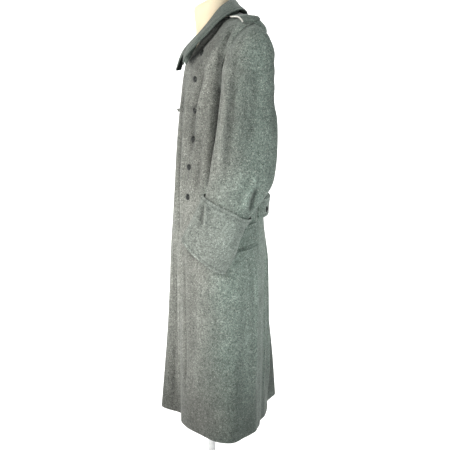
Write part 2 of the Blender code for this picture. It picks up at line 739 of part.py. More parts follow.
def belt_off(angle):
    """The half-belt lies on the side seams and stands off at the centre back."""
    d = (angle - 180.0) / (BELT_LEFT[0] - 180.0)
    return 0.0007 + BELT_OFF * max(0.0, 1.0 - d * d) ** 0.8


def belt_point(angle, height, out):
    """The belt stands off most at its upper edge."""
    v = row_at_side_height(BELT_Z + height)
    hang = 0.8 + 0.2 * height / BELT_HALF_HEIGHT
    return body_off(angle, v, belt_off(angle) * hang + out)


def make_half_belt(cloth, button, collection):
    for name, (first, last), layer in (("left", BELT_LEFT, 1), ("right", BELT_RIGHT, 0)):
        sheets = []
        steps = round(abs(last - first) / BELT_STEP)
        for out in (BELT_WALL, 0.0):
            rows = []
            for a in (-1.0, -0.4, 0.4, 1.0):
                row = []
                for j in range(steps + 1):
                    f = j / steps
                    angle = first + (last - first) * f
                    taper = 1.0 - 0.35 * smoothstep((f - 0.9) / 0.1) * abs(a)
                    off = out + layer * (BELT_WALL + CLEAR) * belt_rise(angle)
                    row.append(belt_point(angle, a * BELT_HALF_HEIGHT * taper, off))
                rows.append(row if first < last else list(reversed(row)))
            sheets.append(rows)
        loft_wall("half_belt_" + name, *sheets, cloth, collection)
    for i, angle in enumerate(BELT_BUTTON_ANGLES):
        point = belt_point(angle, -0.2 * BELT_HALF_HEIGHT, 2 * BELT_WALL + CLEAR + BUTTON_OFF)
        normal = body_normal(angle, row_at_side_height(BELT_Z))
        make_button("half_belt_button_{}".format(i + 1), BUTTON_RADIUS, point, normal,
                    button, collection)


def belt_rise(angle):
    """The left strap rises onto the right one where they lap."""
    return smoothstep((angle - 126.0) / 7.0)


def flap_point(f, g, out):
    """f runs from the rear to the front end, g from the top to the lower edge."""
    rear, front = FLAP_ANGLES[1], FLAP_ANGLES[0]
    angle = rear + (front - rear) * f
    z = FLAP_REAR_TOP_Z - FLAP_SLANT * f - FLAP_HEIGHT * g
    off = FLAP_OFF_TOP + (FLAP_OFF_EDGE - FLAP_OFF_TOP) * g
    return body_off(angle, row_at_side_height(z), off + out)


def make_pocket_flaps(material, collection):
    steps = FLAP_STEPS
    sheets = []
    for out in (FLAP_WALL, 0.0):
        rows = []
        for g in (1.0, 0.94, 0.5, 0.0):
            pull = 0.018 if g == 1.0 else 0.0
            places = [pull + (1.0 - 2 * pull) * i / steps for i in range(steps + 1)]
            rows.append([flap_point(f, g, out) for f in reversed(places)])
        sheets.append(rows)
    loft_wall("pocket_flap_left", *sheets, material, collection)
    loft_wall("pocket_flap_right", *(mirrored(sheet) for sheet in sheets), material, collection)


def form_rings():
    """Rings of the dress form from its bottom to the slanted top of its neck."""
    rings = []
    for v, inset in FORM_BODY:
        ring = []
        for j in range(FORM_COLUMNS):
            angle = 360.0 * j / FORM_COLUMNS
            s = section(v)
            side = abs(math.sin(math.radians(angle)))
            clear = inset + FORM_ARM_INSET * side ** 6 * bump(v, 8.2, 1.0)
            lapped = (UNDERLAP_DROP + 0.002) * smoothstep((math.cos(math.radians(angle)) - 0.35) / 0.3)
            point = body_off(angle, v, -CLOTH - lapped - clear)
            if v == FORM_BODY[0][0]:
                point.z = s.z_side
            ring.append(point)
        rings.append(ring)
    for place in FORM_NECK:
        ring = []
        for j in range(FORM_COLUMNS):
            t = 2.0 * math.pi * j / FORM_COLUMNS
            y = place.centre_y - place.half_deep * math.cos(t)
            z = place.z + place.slant * (y - place.centre_y)
            ring.append(Vector((place.half_width * math.sin(t), y, z)))
        rings.append(ring)
    return rings


def make_form(form_finish, stand_finish, collection):
    rings = form_rings()
    bm = bmesh.new()
    verts = [[bm.verts.new(p) for p in ring] for ring in rings]
    for low, high in zip(verts, verts[1:]):
        for j in range(FORM_COLUMNS):
            k = (j + 1) % FORM_COLUMNS
            bm.faces.new((low[j], low[k], high[k], high[j]))
    bm.faces.new(list(reversed(verts[0])))
    bm.faces.new(verts[-1])
    mesh = bpy.data.meshes.new("form_torso")
    bm.to_mesh(mesh)
    bm.free()
    mesh.shade_smooth()
    mesh.set_sharp_from_angle(angle=math.radians(50.0))
    new_object("form_torso", mesh, form_finish, collection)

    bottom = rings[0][0].z - FIT
    foot = SOCKET_FLOOR + FIT
    turned("stand_pole", [(0.0, bottom), (POLE_RADIUS, bottom), (POLE_RADIUS, foot), (0.0, foot)],
           24, stand_finish, collection)
    bore = POLE_RADIUS + FIT
    turned("stand_base", [
        (0.0, SOCKET_FLOOR), (bore, SOCKET_FLOOR), (bore, HUB_TOP), (HUB_RADIUS - 0.002, HUB_TOP),
        (HUB_RADIUS, HUB_TOP - 0.002), (HUB_RADIUS, SOCKET_FLOOR + 0.006),
        (HUB_RADIUS + 0.008, SOCKET_FLOOR), (BASE_RADIUS - 0.003, BASE_THICK),
        (BASE_RADIUS, BASE_THICK - 0.003), (BASE_RADIUS, 0.002), (BASE_RADIUS - 0.002, 0.0),
        (0.0, 0.0)], 40, stand_finish, collection)


def make_materials():
    def finish(name, colour, roughness):
        material = bpy.data.materials.new(name)
        material.use_nodes = True
        shader = material.node_tree.nodes["Principled BSDF"]
        shader.inputs["Base Color"].default_value = (*colour, 1.0)
        shader.inputs["Roughness"].default_value = roughness
        shader.inputs["Metallic"].default_value = 0.0
        return material

    return {
        "wool": finish("field grey wool", (0.17, 0.21, 0.18), 0.95),
        "collar": finish("dark collar wool", (0.12, 0.15, 0.13), 0.95),
        "piping": finish("white piping", (0.75, 0.74, 0.68), 0.85),
        "button": finish("dark button", (0.02, 0.022, 0.02), 0.45),
        "form": finish("cream form", (0.72, 0.60, 0.48), 0.6),
        "stand": finish("pale stand", (0.62, 0.63, 0.63), 0.35),
    }


def main():
    for obj in list(bpy.data.objects):
        bpy.data.objects.remove(obj, do_unlink=True)
    collection = bpy.data.collections.new("greatcoat")
    bpy.context.scene.collection.children.link(collection)
    finishes = make_materials()
    make_body(finishes["wool"], collection)
    make_sleeves(finishes["wool"], collection)
    make_cuffs(finishes["wool"], collection)
    make_collar(finishes["collar"], collection)
    make_shoulder_straps(finishes["wool"], finishes["piping"], finishes["button"], collection)
    make_front_buttons(finishes["button"], collection)
    make_half_belt(finishes["wool"], finishes["button"], collection)
    make_pocket_flaps(finishes["wool"], collection)
    make_form(finishes["form"], finishes["stand"], collection)


main()
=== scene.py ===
"""Looks of a double-breasted military greatcoat on a limbless dress form.

Each cloth piece is the outer face of its packed wall, subdivided, with its creases raised from the
tables below, and then given its thickness again. Metres, +Z up, the coat faces -Y and its wearer's
left side is +X.
"""
import math
from collections import namedtuple

import bmesh
import bpy
import numpy as np
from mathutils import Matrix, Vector, noise
from mathutils.bvhtree import BVHTree
from mathutils.kdtree import KDTree


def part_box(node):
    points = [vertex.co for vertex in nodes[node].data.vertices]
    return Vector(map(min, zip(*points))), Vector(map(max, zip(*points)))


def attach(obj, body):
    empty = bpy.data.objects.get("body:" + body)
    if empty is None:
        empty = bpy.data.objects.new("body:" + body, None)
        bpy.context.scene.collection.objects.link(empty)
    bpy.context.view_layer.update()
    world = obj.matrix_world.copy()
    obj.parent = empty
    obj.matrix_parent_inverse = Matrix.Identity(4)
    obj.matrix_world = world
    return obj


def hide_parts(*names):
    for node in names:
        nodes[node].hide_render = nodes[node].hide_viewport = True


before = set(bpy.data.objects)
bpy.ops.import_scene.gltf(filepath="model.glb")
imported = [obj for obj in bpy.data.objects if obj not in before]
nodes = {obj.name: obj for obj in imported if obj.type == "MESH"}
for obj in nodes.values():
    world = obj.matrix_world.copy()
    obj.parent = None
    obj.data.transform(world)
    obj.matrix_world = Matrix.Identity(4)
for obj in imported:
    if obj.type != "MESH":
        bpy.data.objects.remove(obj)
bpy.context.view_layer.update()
scene = bpy.context.scene
scene.view_settings.view_transform = "Standard"

# Camera: the photograph is 450 pixels wide and high
PHOTO = 450.0
LENS, SENSOR = 62.0, 36.0
CAMERA_AT = Vector((2.3405, -0.3282, 1.2835))
CAMERA_TURN = (math.radians(80.0), 0.0, math.radians(81.0))

BODY_AXIS = Vector((0.0, 0.045, 0.0))
FORM_NECK_Y = 0.018
SIDES = ("left", "right")
BODY_PANELS = ("front_left", "front_right", "back_left", "back_right")

# Thickness of the cloth, with the small pieces as two plies, and the rounding of its edges
WOOL_THICK, COLLAR_THICK, CUFF_THICK = 0.0027, 0.0030, 0.0032
FLAP_THICK, STRAP_THICK = 0.0040, 0.0052
CLOTH_EDGE, SMALL_EDGE = 0.0010, 0.0013
EDGE_ANGLE = math.radians(55.0)

# Rows of stitches: how far they lie from the edge, how deep and wide they sink in, their length
STITCH_INSET, STITCH_DIP, STITCH_HALF, STITCH_LENGTH = 0.0085, 0.0006, 0.0022, 0.0050
SEAM_DIP, SEAM_HALF = 0.0007, 0.006

SUBDIVISIONS = 3
SHAPE_PASSES, CATCH_UP = 3, 0.9
DOUBLES = 2e-5
FAR, TINY = 1e9, 1e-12


def per_point(mesh, key):
    values = np.empty(len(mesh.vertices) * 3)
    mesh.vertices.foreach_get(key, values)
    return values.reshape(-1, 3)


def mesh_points(mesh):
    return per_point(mesh, "co")


def set_points(mesh, points):
    mesh.vertices.foreach_set("co", points.ravel())
    mesh.update()


def mesh_from(bm, name):
    mesh = bpy.data.meshes.new(name)
    bm.to_mesh(mesh)
    bm.free()
    return mesh


def linked(name, data):
    obj = bpy.data.objects.new(name, data)
    scene.collection.objects.link(obj)
    return obj


def make_camera():
    data = bpy.data.cameras.new("camera")
    data.lens = LENS
    data.sensor_width = SENSOR
    data.clip_start = 0.05
    camera = linked("camera", data)
    camera.location = CAMERA_AT
    camera.rotation_euler = CAMERA_TURN
    scene.camera = camera
    bpy.context.view_layer.update()
    return camera


camera = make_camera()


def photo_ray(px, py):
    """The direction from the camera through a pixel of the photograph."""
    reach = LENS / SENSOR * PHOTO
    turn = camera.matrix_world.to_3x3()
    return (turn @ Vector((px - PHOTO / 2, PHOTO / 2 - py, -reach))).normalized()


# Creases. where: "photo" gives pixels of the photograph, "round" gives degrees round the body from
# the centre front over the wearer's left and a height, "space" gives a point in metres. width is
# half of the crease's width, rise its height (below zero for a trough), lean moves it to one side.
Crease = namedtuple("Crease", "cloth where width rise lean line")
CREASE_END = 0.22         # the share of a crease's length over which it dies out
SHADE_END = 0.07
OUTSIDE = 0.6             # where the look towards the body starts, from its axis


def rows(cloth, where, *table):
    """Creases of one cloth, a row each: width, rise, lean and line."""
    return tuple(Crease(cloth, where, *row) for row in table)


BODY_CREASES = rows(
    "body", "photo",
    # the valley in front of the near sleeve, and the hollow under the collar's edge
    (0.026, -0.012, 0.0, ((221, 66), (218, 86), (216, 110), (214, 136), (211, 162), (208, 186))),
    (0.013, -0.006, 0.0, ((236, 11), (228, 18), (215, 32), (206, 42), (196, 53), (188, 62))),
    # thin lines beside the front edge, and the vent's edge
    (0.007, 0.005, 0.0, ((178, 98), (177, 130), (177, 170), (176, 210), (176, 232))),
    (0.006, -0.005, 0.0, ((180, 100), (180, 140), (179, 180), (179, 226), (177, 250))),
    (0.005, -0.005, 0.0, ((176, 236), (176, 290), (175, 340), (174, 390), (174, 408))),
    (0.004, 0.003, 0.0, ((265, 256), (266, 300), (266, 350), (266, 404))),
    (0.004, 0.003, 0.0, ((172, 252), (171, 300), (170, 352), (168, 398))),
    (0.004, -0.004, 0.0, ((170, 262), (169, 310), (167, 360), (165, 400))),
    # drapes from the shoulder down to the button column
    (0.024, 0.0094, 0.2, ((222, 38), (216, 52), (210, 66), (206, 84), (201, 104), (197, 128))),
    (0.018, -0.0058, 0.0, ((207, 64), (202, 80), (197, 100), (193, 126), (191, 160))),
    (0.016, 0.0061, 0.0, ((192, 70), (188, 92), (185, 122), (184, 150), (182, 190), (181, 228))),
    (0.013, -0.0043, 0.0, ((186, 76), (182, 104), (180, 140), (178, 180), (177, 214))),
    (0.012, 0.0046, 0.0, ((181, 78), (178, 112), (176, 150), (174, 200), (173, 240))),
    (0.02, -0.0051, 0.0, ((200, 128), (199, 150), (198, 172), (194, 196))),
    # the skirt
    (0.013, 0.008, 0.3, ((181, 232), (180, 270), (180, 320), (180, 368), (179, 410))),
    (0.012, -0.0051, 0.0, ((185, 246), (185, 290), (186, 340), (186, 396))),
    (0.01, 0.0041, 0.0, ((174, 240), (172, 290), (170, 350), (168, 400))),
    (0.026, 0.0024, 0.0, ((204, 262), (201, 310), (198, 360), (197, 418))),
    (0.024, -0.0017, 0.0, ((217, 276), (216, 330), (214, 380), (212, 428))),
    (0.03, 0.0009, 0.2, ((230, 280), (231, 320), (229, 366), (229, 430))),
    (0.02, -0.0015, 0.0, ((243, 262), (245, 310), (244, 370), (243, 424))),
    (0.018, 0.0065, 0.0, ((253, 246), (255, 272), (256, 300), (255, 350), (254, 400))),
    (0.01, 0.0043, 0.0, ((264, 246), (264, 300), (264, 350), (263, 402))),
) + rows(
    "body", "round",
    # the back and the hidden right side
    (0.025, 0.0036, 0.2, ((146, 1.39), (151, 1.26), (157, 1.12), (161, 0.98))),
    (0.022, -0.0028, 0.0, ((162, 1.3), (166, 1.18), (169, 1.06), (168, 0.97))),
    (0.027, 0.0032, -0.2, ((214, 1.4), (209, 1.27), (202, 1.13), (199, 0.98))),
    (0.022, -0.0028, 0.0, ((194, 1.22), (191, 1.14), (192, 1.05), (189, 0.97))),
    (0.014, -0.0043, 0.0, ((150, 1.02), (164, 1.0), (178, 1.006), (192, 0.998))),
    (0.02, 0.0072, 0.0, ((156, 0.88), (158, 0.7), (160, 0.5), (161, 0.29))),
    (0.018, -0.0058, 0.0, ((146, 0.86), (147, 0.68), (146, 0.48), (145, 0.3))),
    (0.018, -0.0065, 0.0, ((186, 0.82), (184, 0.62), (186, 0.44), (187, 0.29))),
    (0.018, 0.0058, 0.0, ((214, 0.86), (215, 0.66), (216, 0.46), (218, 0.29))),
    (0.022, -0.0058, 0.0, ((229, 0.84), (232, 0.6), (233, 0.42), (236, 0.3))),
    (0.022, 0.0061, 0.0, ((258, 0.8), (261, 0.6), (260, 0.44), (263, 0.29))),
    (0.022, -0.0055, 0.0, ((285, 0.82), (284, 0.62), (287, 0.42), (286, 0.3))),
    (0.02, 0.0065, 0.2, ((310, 0.92), (312, 0.72), (311, 0.5), (313, 0.29))),
    (0.018, -0.0058, 0.0, ((336, 1.0), (335, 0.8), (337, 0.56), (338, 0.32))),
    (0.022, 0.0087, -0.2, ((300, 1.38), (308, 1.3), (314, 1.2), (318, 1.08))),
    (0.018, -0.0055, 0.0, ((318, 1.34), (323, 1.22), (326, 1.1), (328, 0.98))),
    (0.016, 0.0051, 0.0, ((338, 1.3), (341, 1.15), (342, 1.0), (340, 0.86))),
    (0.016, -0.0043, 0.0, ((0, 1.3), (358, 1.16), (1, 1.02), (359, 0.9))),
    (0.014, 0.0043, 0.0, ((12, 1.26), (10, 1.12), (12, 0.98), (11, 0.84))),
)

SLEEVE_CREASES = rows(
    "left_sleeve", "photo",
    # folds down the front and middle of the sleeve
    (0.016, 0.007, 0.2, ((231, 52), (228, 72), (226, 96), (223, 126), (221, 152), (217, 182))),
    (0.016, -0.0048, 0.0, ((237, 64), (233, 92), (230, 122), (227, 154), (224, 184))),
    (0.02, 0.0042, 0.0, ((246, 44), (243, 74), (240, 106), (238, 140), (235, 172))),
    (0.02, -0.0039, 0.0, ((258, 56), (256, 90), (253, 124), (251, 150))),
    # the elbow and above the cuff
    (0.01, -0.0066, 0.2, ((250, 221), (251, 214), (252, 206), (255, 197), (259, 188))),
    (0.011, 0.005, 0.0, ((244, 214), (246, 204), (249, 195), (254, 184), (258, 172))),
    (0.012, -0.0036, 0.0, ((236, 206), (241, 196), (247, 186), (254, 174))),
    (0.01, 0.0034, 0.0, ((219, 194), (227, 191), (236, 184), (246, 172))),
    (0.009, -0.0034, 0.0, ((210, 190), (217, 185), (226, 179))),
) + rows(
    "left_sleeve", "space",
    # the sleeve's back and its inner side
    (0.05, -0.008, 0.0, ((0.222, 0.143, 1.38), (0.234, 0.143, 1.32), (0.24, 0.142, 1.26),
        (0.244, 0.14, 1.2))),
    (0.014, -0.007, 0.0, ((0.225, 0.0, 1.11), (0.22, 0.02, 1.06), (0.224, 0.05, 1.02))),
    (0.014, 0.007, 0.0, ((0.225, -0.01, 1.06), (0.222, 0.02, 1.02), (0.226, 0.06, 0.985))),
    (0.016, 0.0056, 0.0, ((0.215, 0.04, 1.22), (0.213, 0.05, 1.17), (0.216, 0.06, 1.11))),
)

# drapes that cross the armhole, on the body and the sleeve alike
SHOULDER_CREASES = rows(
    "shoulder", "space",
    (0.042, 0.01, 0.0, ((0.18, 0.088, 1.462), (0.2, 0.106, 1.45), (0.218, 0.122, 1.425),
        (0.226, 0.132, 1.4))),
) + rows(
    "shoulder", "photo",
    (0.014, 0.005, 0.0, ((246, 24), (236, 32), (230, 44), (227, 60), (225, 78), (224, 96))),
    (0.013, -0.006, 0.0, ((236, 24), (228, 36), (222, 50), (219, 66), (217, 84))),
    (0.012, -0.0032, 0.0, ((250, 30), (242, 40), (236, 54), (234, 72))),
)

CUFF_CREASES = rows(
    "left_cuff", "photo",
    (0.005, -0.004, 0.0, ((253, 220), (246, 234), (239, 247), (231, 261))),
    (0.006, 0.0056, 0.3, ((207, 197), (206, 206), (205, 218), (204, 230))),
    (0.007, -0.0046, 0.0, ((203, 203), (202, 214), (201, 226))),
    (0.008, -0.003, 0.0, ((211, 200), (210, 214), (209, 232))),
    (0.02, 0.0029, 0.0, ((232, 210), (226, 232), (219, 250))),
    (0.014, -0.0026, 0.0, ((245, 218), (238, 236), (230, 254))),
)

COLLAR_CREASES = rows(
    "collar", "space",
    (0.016, 0.002, 0.0, ((0.09, -0.06, 1.41), (0.11, -0.02, 1.44), (0.12, 0.02, 1.47))),
    (0.014, -0.0018, 0.0, ((0.05, 0.1, 1.5), (0.0, 0.1, 1.5), (-0.05, 0.1, 1.5))),
)

# Painted shade: places where the cloth lies in shade and its colour is darkened for it; rise is the share
# of its lightness that is taken off, below zero for a painted highlight that makes the cloth lighter
SHADES = tuple(Crease(*row) for row in (
    # painted shade in the valley in front of the sleeve, and under the collar's edge
    ("body", "photo", 0.02, 0.46, 0.0, ((224, 50), (219, 84), (217, 110), (215, 136), (212, 162),
     (209, 190))),
    ("body", "photo", 0.018, 0.6, 0.0, ((236, 10), (227, 18), (215, 32), (206, 43), (196, 54), (188, 63))),
    # painted shade on the far back panel behind the vent
    ("back_right", "round", 0.115, 0.4, 0.0, ((196, 0.9), (198, 0.75), (199, 0.55), (200, 0.4),
     (200, 0.275))),
    # painted shade on the skirt behind the front ridge, below the cuff and in its middle
    ("body", "photo", 0.03, 0.16, 0.0, ((188, 226), (190, 260), (191, 310), (191, 360), (190, 440))),
    ("body", "photo", 0.026, 0.42, 0.0, ((183, 234), (188, 246), (197, 256), (209, 264), (222, 271),
     (232, 275))),
    ("body", "photo", 0.05, 0.09, 0.0, ((232, 262), (232, 310), (231, 360), (230, 420))),
    # a painted highlight on the vent's edge
    ("back_left", "photo", 0.003, -0.3, 0.0, ((265, 250), (265.4, 300), (265.6, 350), (265.6, 404))),
    # painted shade on the chest below the collar
    ("body", "photo", 0.042, 0.24, 0.0, ((236, 20), (226, 33), (213, 47), (203, 60), (194, 74))),
    # painted shade on the turn behind the vent's edge, and painted light on the back of the skirt
    ("back_left", "photo", 0.011, 0.42, 0.0, ((268.5, 290), (268.8, 330), (269.0, 365), (268.6, 402))),
    ("body", "photo", 0.026, -0.18, 0.0, ((247, 262), (247, 300), (247, 350), (246, 410))),
    # painted shade on the chest beside the buttons, and on the middle of the sleeve
    ("body", "photo", 0.03, 0.11, 0.0, ((197, 88), (194, 120), (191, 150), (189, 184))),
    ("left_sleeve", "photo", 0.046, 0.13, 0.0, ((241, 52), (240, 90), (238, 130), (236, 170))),
    # a painted highlight on the ridge beside the front edge, and painted shade on the lines in front of it
    ("body", "photo", 0.009, -0.16, 0.0, ((180, 190), (180, 240), (180, 300), (180, 360), (179, 430))),
    ("body", "photo", 0.005, 0.3, 0.0, ((174, 236), (174, 290), (173, 350), (172, 410))),
    ("body", "photo", 0.005, 0.22, 0.0, ((177, 92), (176, 150), (176, 200), (175, 240))),
    # painted shade on the far front corner of the hem
    ("body", "round", 0.07, 0.34, 0.0, ((334, 0.66), (336, 0.45), (338, 0.3), (339, 0.12))),
    # painted shade under the shoulder strap, at the elbow and on the cuff
    ("shoulder", "photo", 0.007, 0.5, 0.0, ((243, 23), (248, 24), (254, 25), (260, 25), (265, 26))),
    ("left_sleeve", "photo", 0.012, 0.3, 0.0, ((250, 224), (251, 212), (253, 200), (257, 188))),
    ("left_cuff", "photo", 0.01, 0.22, 0.0, ((204, 200), (202, 214), (200, 230))),
))


def smooth(f):
    f = np.clip(f, 0.0, 1.0)
    return f * f * (3.0 - 2.0 * f)


def ramp(values, start, span):
    """Rises smoothly from 0 at the start to 1 a span further on, or lower if the span is negative."""
    return smooth((values - start) / span)


def curve_through(points, per_span=4):
    """A smooth row of points through the given ones."""
    out = []
    for i in range(len(points) - 1):
        p0, p1 = points[max(i - 1, 0)], points[i]
        p2, p3 = points[i + 1], points[min(i + 2, len(points) - 1)]
        for k in range(per_span):
            f = k / per_span
            out.append(0.5 * (2 * p1 + (p2 - p0) * f + (2 * p0 - 5 * p1 + 4 * p2 - p3) * f * f
                              + (3 * p1 - p0 - 3 * p2 + p3) * f ** 3))
    out.append(points[-1])
    return out


def placed(crease, tree):
    """The crease's line on the surface of the piece, as rows of three coordinates."""
    line = []
    for entry in crease.line:
        if crease.where == "photo":
            hit = tree.ray_cast(CAMERA_AT, photo_ray(*entry))[0]
        elif crease.where == "round":
            angle, z = math.radians(entry[0]), entry[1]
            centre = BODY_AXIS + Vector((0.0, 0.0, z))
            out = Vector((math.sin(angle), -math.cos(angle), 0.0))
            hit = tree.ray_cast(centre + out * OUTSIDE, -out)[0]
        else:
            hit = tree.find_nearest(Vector(entry))[0]
        if hit is not None:
            line.append(Vector(hit))
    if len(line) < 2:
        return None
    return np.array([tree.find_nearest(p)[0] for p in curve_through(line)])


def crease_height(points, normals, crease, line, end=CREASE_END):
    """What one crease adds to the height of each point."""
    best = np.full(len(points), FAR)
    along = np.zeros(len(points))
    side = np.zeros(len(points))
    lengths = np.linalg.norm(np.diff(line, axis=0), axis=1)
    total, run = lengths.sum(), 0.0
    for a, b, length in zip(line, line[1:], lengths):
        d = b - a
        t = np.clip(((points - a) @ d) / max(length ** 2, TINY), 0.0, 1.0)
        off = points - (a + t[:, None] * d)
        gap = (off ** 2).sum(1)
        near = gap < best
        best[near] = gap[near]
        along[near] = (run + t[near] * length) / total
        side[near] = np.sign((np.cross(d, off[near]) * normals[near]).sum(1))
        run += length
    width = crease.width * (1.0 + crease.lean * side)
    f = np.sqrt(best) / width
    profile = np.where(f < 1.0, (1.0 - np.minimum(f, 1.0) ** 2) ** 2, 0.0)
    return crease.rise * profile * smooth(along / end) * smooth((1.0 - along) / end)


# The near wrist's draw forward, and the start and span of each ramp that bounds it
WRIST_DRAW = 0.022
WRIST_BACK, BELOW_ELBOW, ABOVE_CUFF = (0.005, 0.075), (1.040, -0.100), (0.770, 0.110)


def drawn_in(points):
    """The back of the near sleeve and cuff, pulled forward below the elbow."""
    y, z = points[:, 1], points[:, 2]
    moved = np.array(points)
    moved[:, 1] -= WRIST_DRAW * (ramp(y, *WRIST_BACK) * ramp(z, *BELOW_ELBOW) * ramp(z, *ABOVE_CUFF))
    return moved


# Parts of the skirt that stand out more towards the hem: move along Y at the hem, degrees round
# the body and half of the width in degrees
Flare = namedtuple("Flare", "move angle half")
FLARES = (Flare(0.015, 200.0, 24.0), Flare(-0.005, 342.0, 24.0))
FLARE_TOP, FLARE_DROP = 0.80, 0.55


def flared(points):
    moved = np.array(points)
    angle = np.degrees(np.arctan2(points[:, 0], -(points[:, 1] - BODY_AXIS.y))) % 360.0
    low = ramp(points[:, 2], FLARE_TOP, -FLARE_DROP)
    for flare in FLARES:
        moved[:, 1] += flare.move * low * smooth(1.0 - np.abs(angle - flare.angle) / flare.half)
    return moved


def tree_of(*names, move=None):
    """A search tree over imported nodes, with their points moved first if need be."""
    bm = bmesh.new()
    for name in names:
        bm.from_mesh(nodes[name].data)
    if move is not None:
        for vert, place in zip(bm.verts, move(np.array([v.co for v in bm.verts]))):
            vert.co = place
    tree = BVHTree.FromBMesh(bm)
    bm.free()
    return tree


UNEVEN = 0.15


def mirrored_creases(creases, cloth, tree_from, shift):
    """Creases of the hidden side: those of the seen one, turned over and made uneven."""
    out = []
    for i, crease in enumerate(creases):
        line = placed(crease, tree_from)
        if line is None:
            continue
        points = tuple((-p[0], p[1] + shift[0] * math.sin(2.3 * i), p[2] + shift[1] * math.cos(1.7 * i))
                       for p in line[::4])
        out.append(Crease(cloth, "space", crease.width * (1.0 + UNEVEN * math.sin(3.1 * i)),
                          crease.rise * (1.0 - UNEVEN + UNEVEN * math.cos(2.1 * i)), -crease.lean, points))
    return out


left_sleeve_tree = tree_of("sleeve_left_upper", "sleeve_left_under", move=drawn_in)
left_cuff_tree = tree_of("cuff_left", move=drawn_in)
TREES = {
    "body": tree_of(*BODY_PANELS),
    "left_sleeve": left_sleeve_tree,
    "right_sleeve": tree_of("sleeve_right_upper", "sleeve_right_under"),
    "left_cuff": left_cuff_tree,
    "right_cuff": tree_of("cuff_right"),
    "collar": tree_of("collar"),
    "shoulder": tree_of(*BODY_PANELS, "sleeve_left_upper"),
}
ALL_CREASES = list(BODY_CREASES + SLEEVE_CREASES + CUFF_CREASES + COLLAR_CREASES + SHOULDER_CREASES)
ALL_CREASES += mirrored_creases(SLEEVE_CREASES, "right_sleeve", left_sleeve_tree, (0.006, 0.010))
ALL_CREASES += mirrored_creases(CUFF_CREASES, "right_cuff", left_cuff_tree, (0.004, 0.004))
PLACED = [(crease, placed(crease, TREES[crease.cloth])) for crease in ALL_CREASES]
PLACED = [(crease, line) for crease, line in PLACED if line is not None]

SHOULDER_CLOTHS = ("body", "left_sleeve")
PLACED_SHADES = [(shade, placed(shade, TREES.get(shade.cloth, TREES["body"]))) for shade in SHADES]


def shade_of(cloth, node, points, normals):
    """The share of its lightness that the cloth keeps at each point under the painted shade and painted
    highlights.
    """
    kept = np.ones(len(points))
    for shade, line in PLACED_SHADES:
        everywhere = shade.cloth == "shoulder" and cloth in SHOULDER_CLOTHS
        if line is not None and (shade.cloth in (cloth, node) or everywhere):
            kept *= 1.0 - crease_height(points, normals, shade, line, SHADE_END)
    return kept


# Slow swell of the cloth between its creases: size across and down, height
Swell = namedtuple("Swell", "across down height seed")
SWELLS = {
    "body": (Swell(0.080, 0.340, 0.0024, 3.0), Swell(0.034, 0.120, 0.0008, 11.0)),
    "left_sleeve": (Swell(0.060, 0.200, 0.0020, 5.0), Swell(0.026, 0.070, 0.0007, 17.0)),
    "right_sleeve": (Swell(0.060, 0.200, 0.0020, 7.0), Swell(0.026, 0.070, 0.0007, 19.0)),
    "left_cuff": (Swell(0.050, 0.080, 0.0008, 9.0),),
    "right_cuff": (Swell(0.050, 0.080, 0.0008, 13.0),),
    "collar": (Swell(0.050, 0.050, 0.0010, 23.0),),
}


def relief(cloth, points, normals):
    """The height of the creases and the swell over each point."""
    total = np.zeros(len(points))
    for crease, line in PLACED:
        if crease.cloth != cloth:
            continue
        pad = crease.width * (1.0 + abs(crease.lean))
        inside = np.all((points > line.min(0) - pad) & (points < line.max(0) + pad), axis=1)
        if inside.any():
            total[inside] += crease_height(points[inside], normals[inside], crease, line)
    for swell in SWELLS.get(cloth, ()):
        shift = Vector((swell.seed, swell.seed * 0.7, 0.0))
        for i, (x, y, z) in enumerate(points):
            place = Vector((x / swell.across, y / swell.across, z / swell.down)) + shift
            total[i] += swell.height * noise.noise(place)
    return total


def grown_island(start, left, turn):
    """The faces that join on without a sharper turn than the given one."""
    island, stack = [start], [start]
    while stack:
        face = stack.pop()
        for edge in face.edges:
            for other in edge.link_faces:
                if other in left and face.normal.dot(other.normal) > turn:
                    left.discard(other)
                    island.append(other)
                    stack.append(other)
    return island


# Cosines of the sharpest turn within the outer face, tried in turn while the face found is more
# than its share of the wall and so takes in the inner one too
TURNS = (0.34, 0.45, 0.55, 0.65, 0.75)
OUTER_SHARE = 0.58
JOIN_FACES, JOIN_SHAPES = 1.4, 3.1


def outer_sheet(name, inside):
    """The outer face of a packed wall, cut free from its rim and inner face."""
    bm = bmesh.new()
    bm.from_mesh(nodes[name].data)
    bmesh.ops.remove_doubles(bm, verts=bm.verts, dist=DOUBLES)
    bm.normal_update()
    whole = sum(f.calc_area() for f in bm.faces)
    for turn in TURNS:
        best, best_score = [], -FAR
        left = set(bm.faces)
        while left:
            island = grown_island(left.pop(), left, turn)
            score = sum((f.calc_center_median() - inside(f.calc_center_median())).normalized().dot(f.normal)
                        * f.calc_area() for f in island)
            if score > best_score:
                best, best_score = island, score
        if sum(f.calc_area() for f in best) < OUTER_SHARE * whole:
            break
    keep = set(best)
    bmesh.ops.delete(bm, geom=[f for f in bm.faces if f not in keep], context="FACES")
    bmesh.ops.join_triangles(bm, faces=bm.faces, angle_face_threshold=JOIN_FACES,
                             angle_shape_threshold=JOIN_SHAPES)
    return bm


def from_axis(p):
    return Vector((BODY_AXIS.x, BODY_AXIS.y, p.z))


def from_below(p):
    return Vector((p.x, p.y, p.z - 1.0))


def from_middle_of(name):
    low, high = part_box(name)
    middle = (low + high) / 2

    def inside(p):
        return middle
    return inside


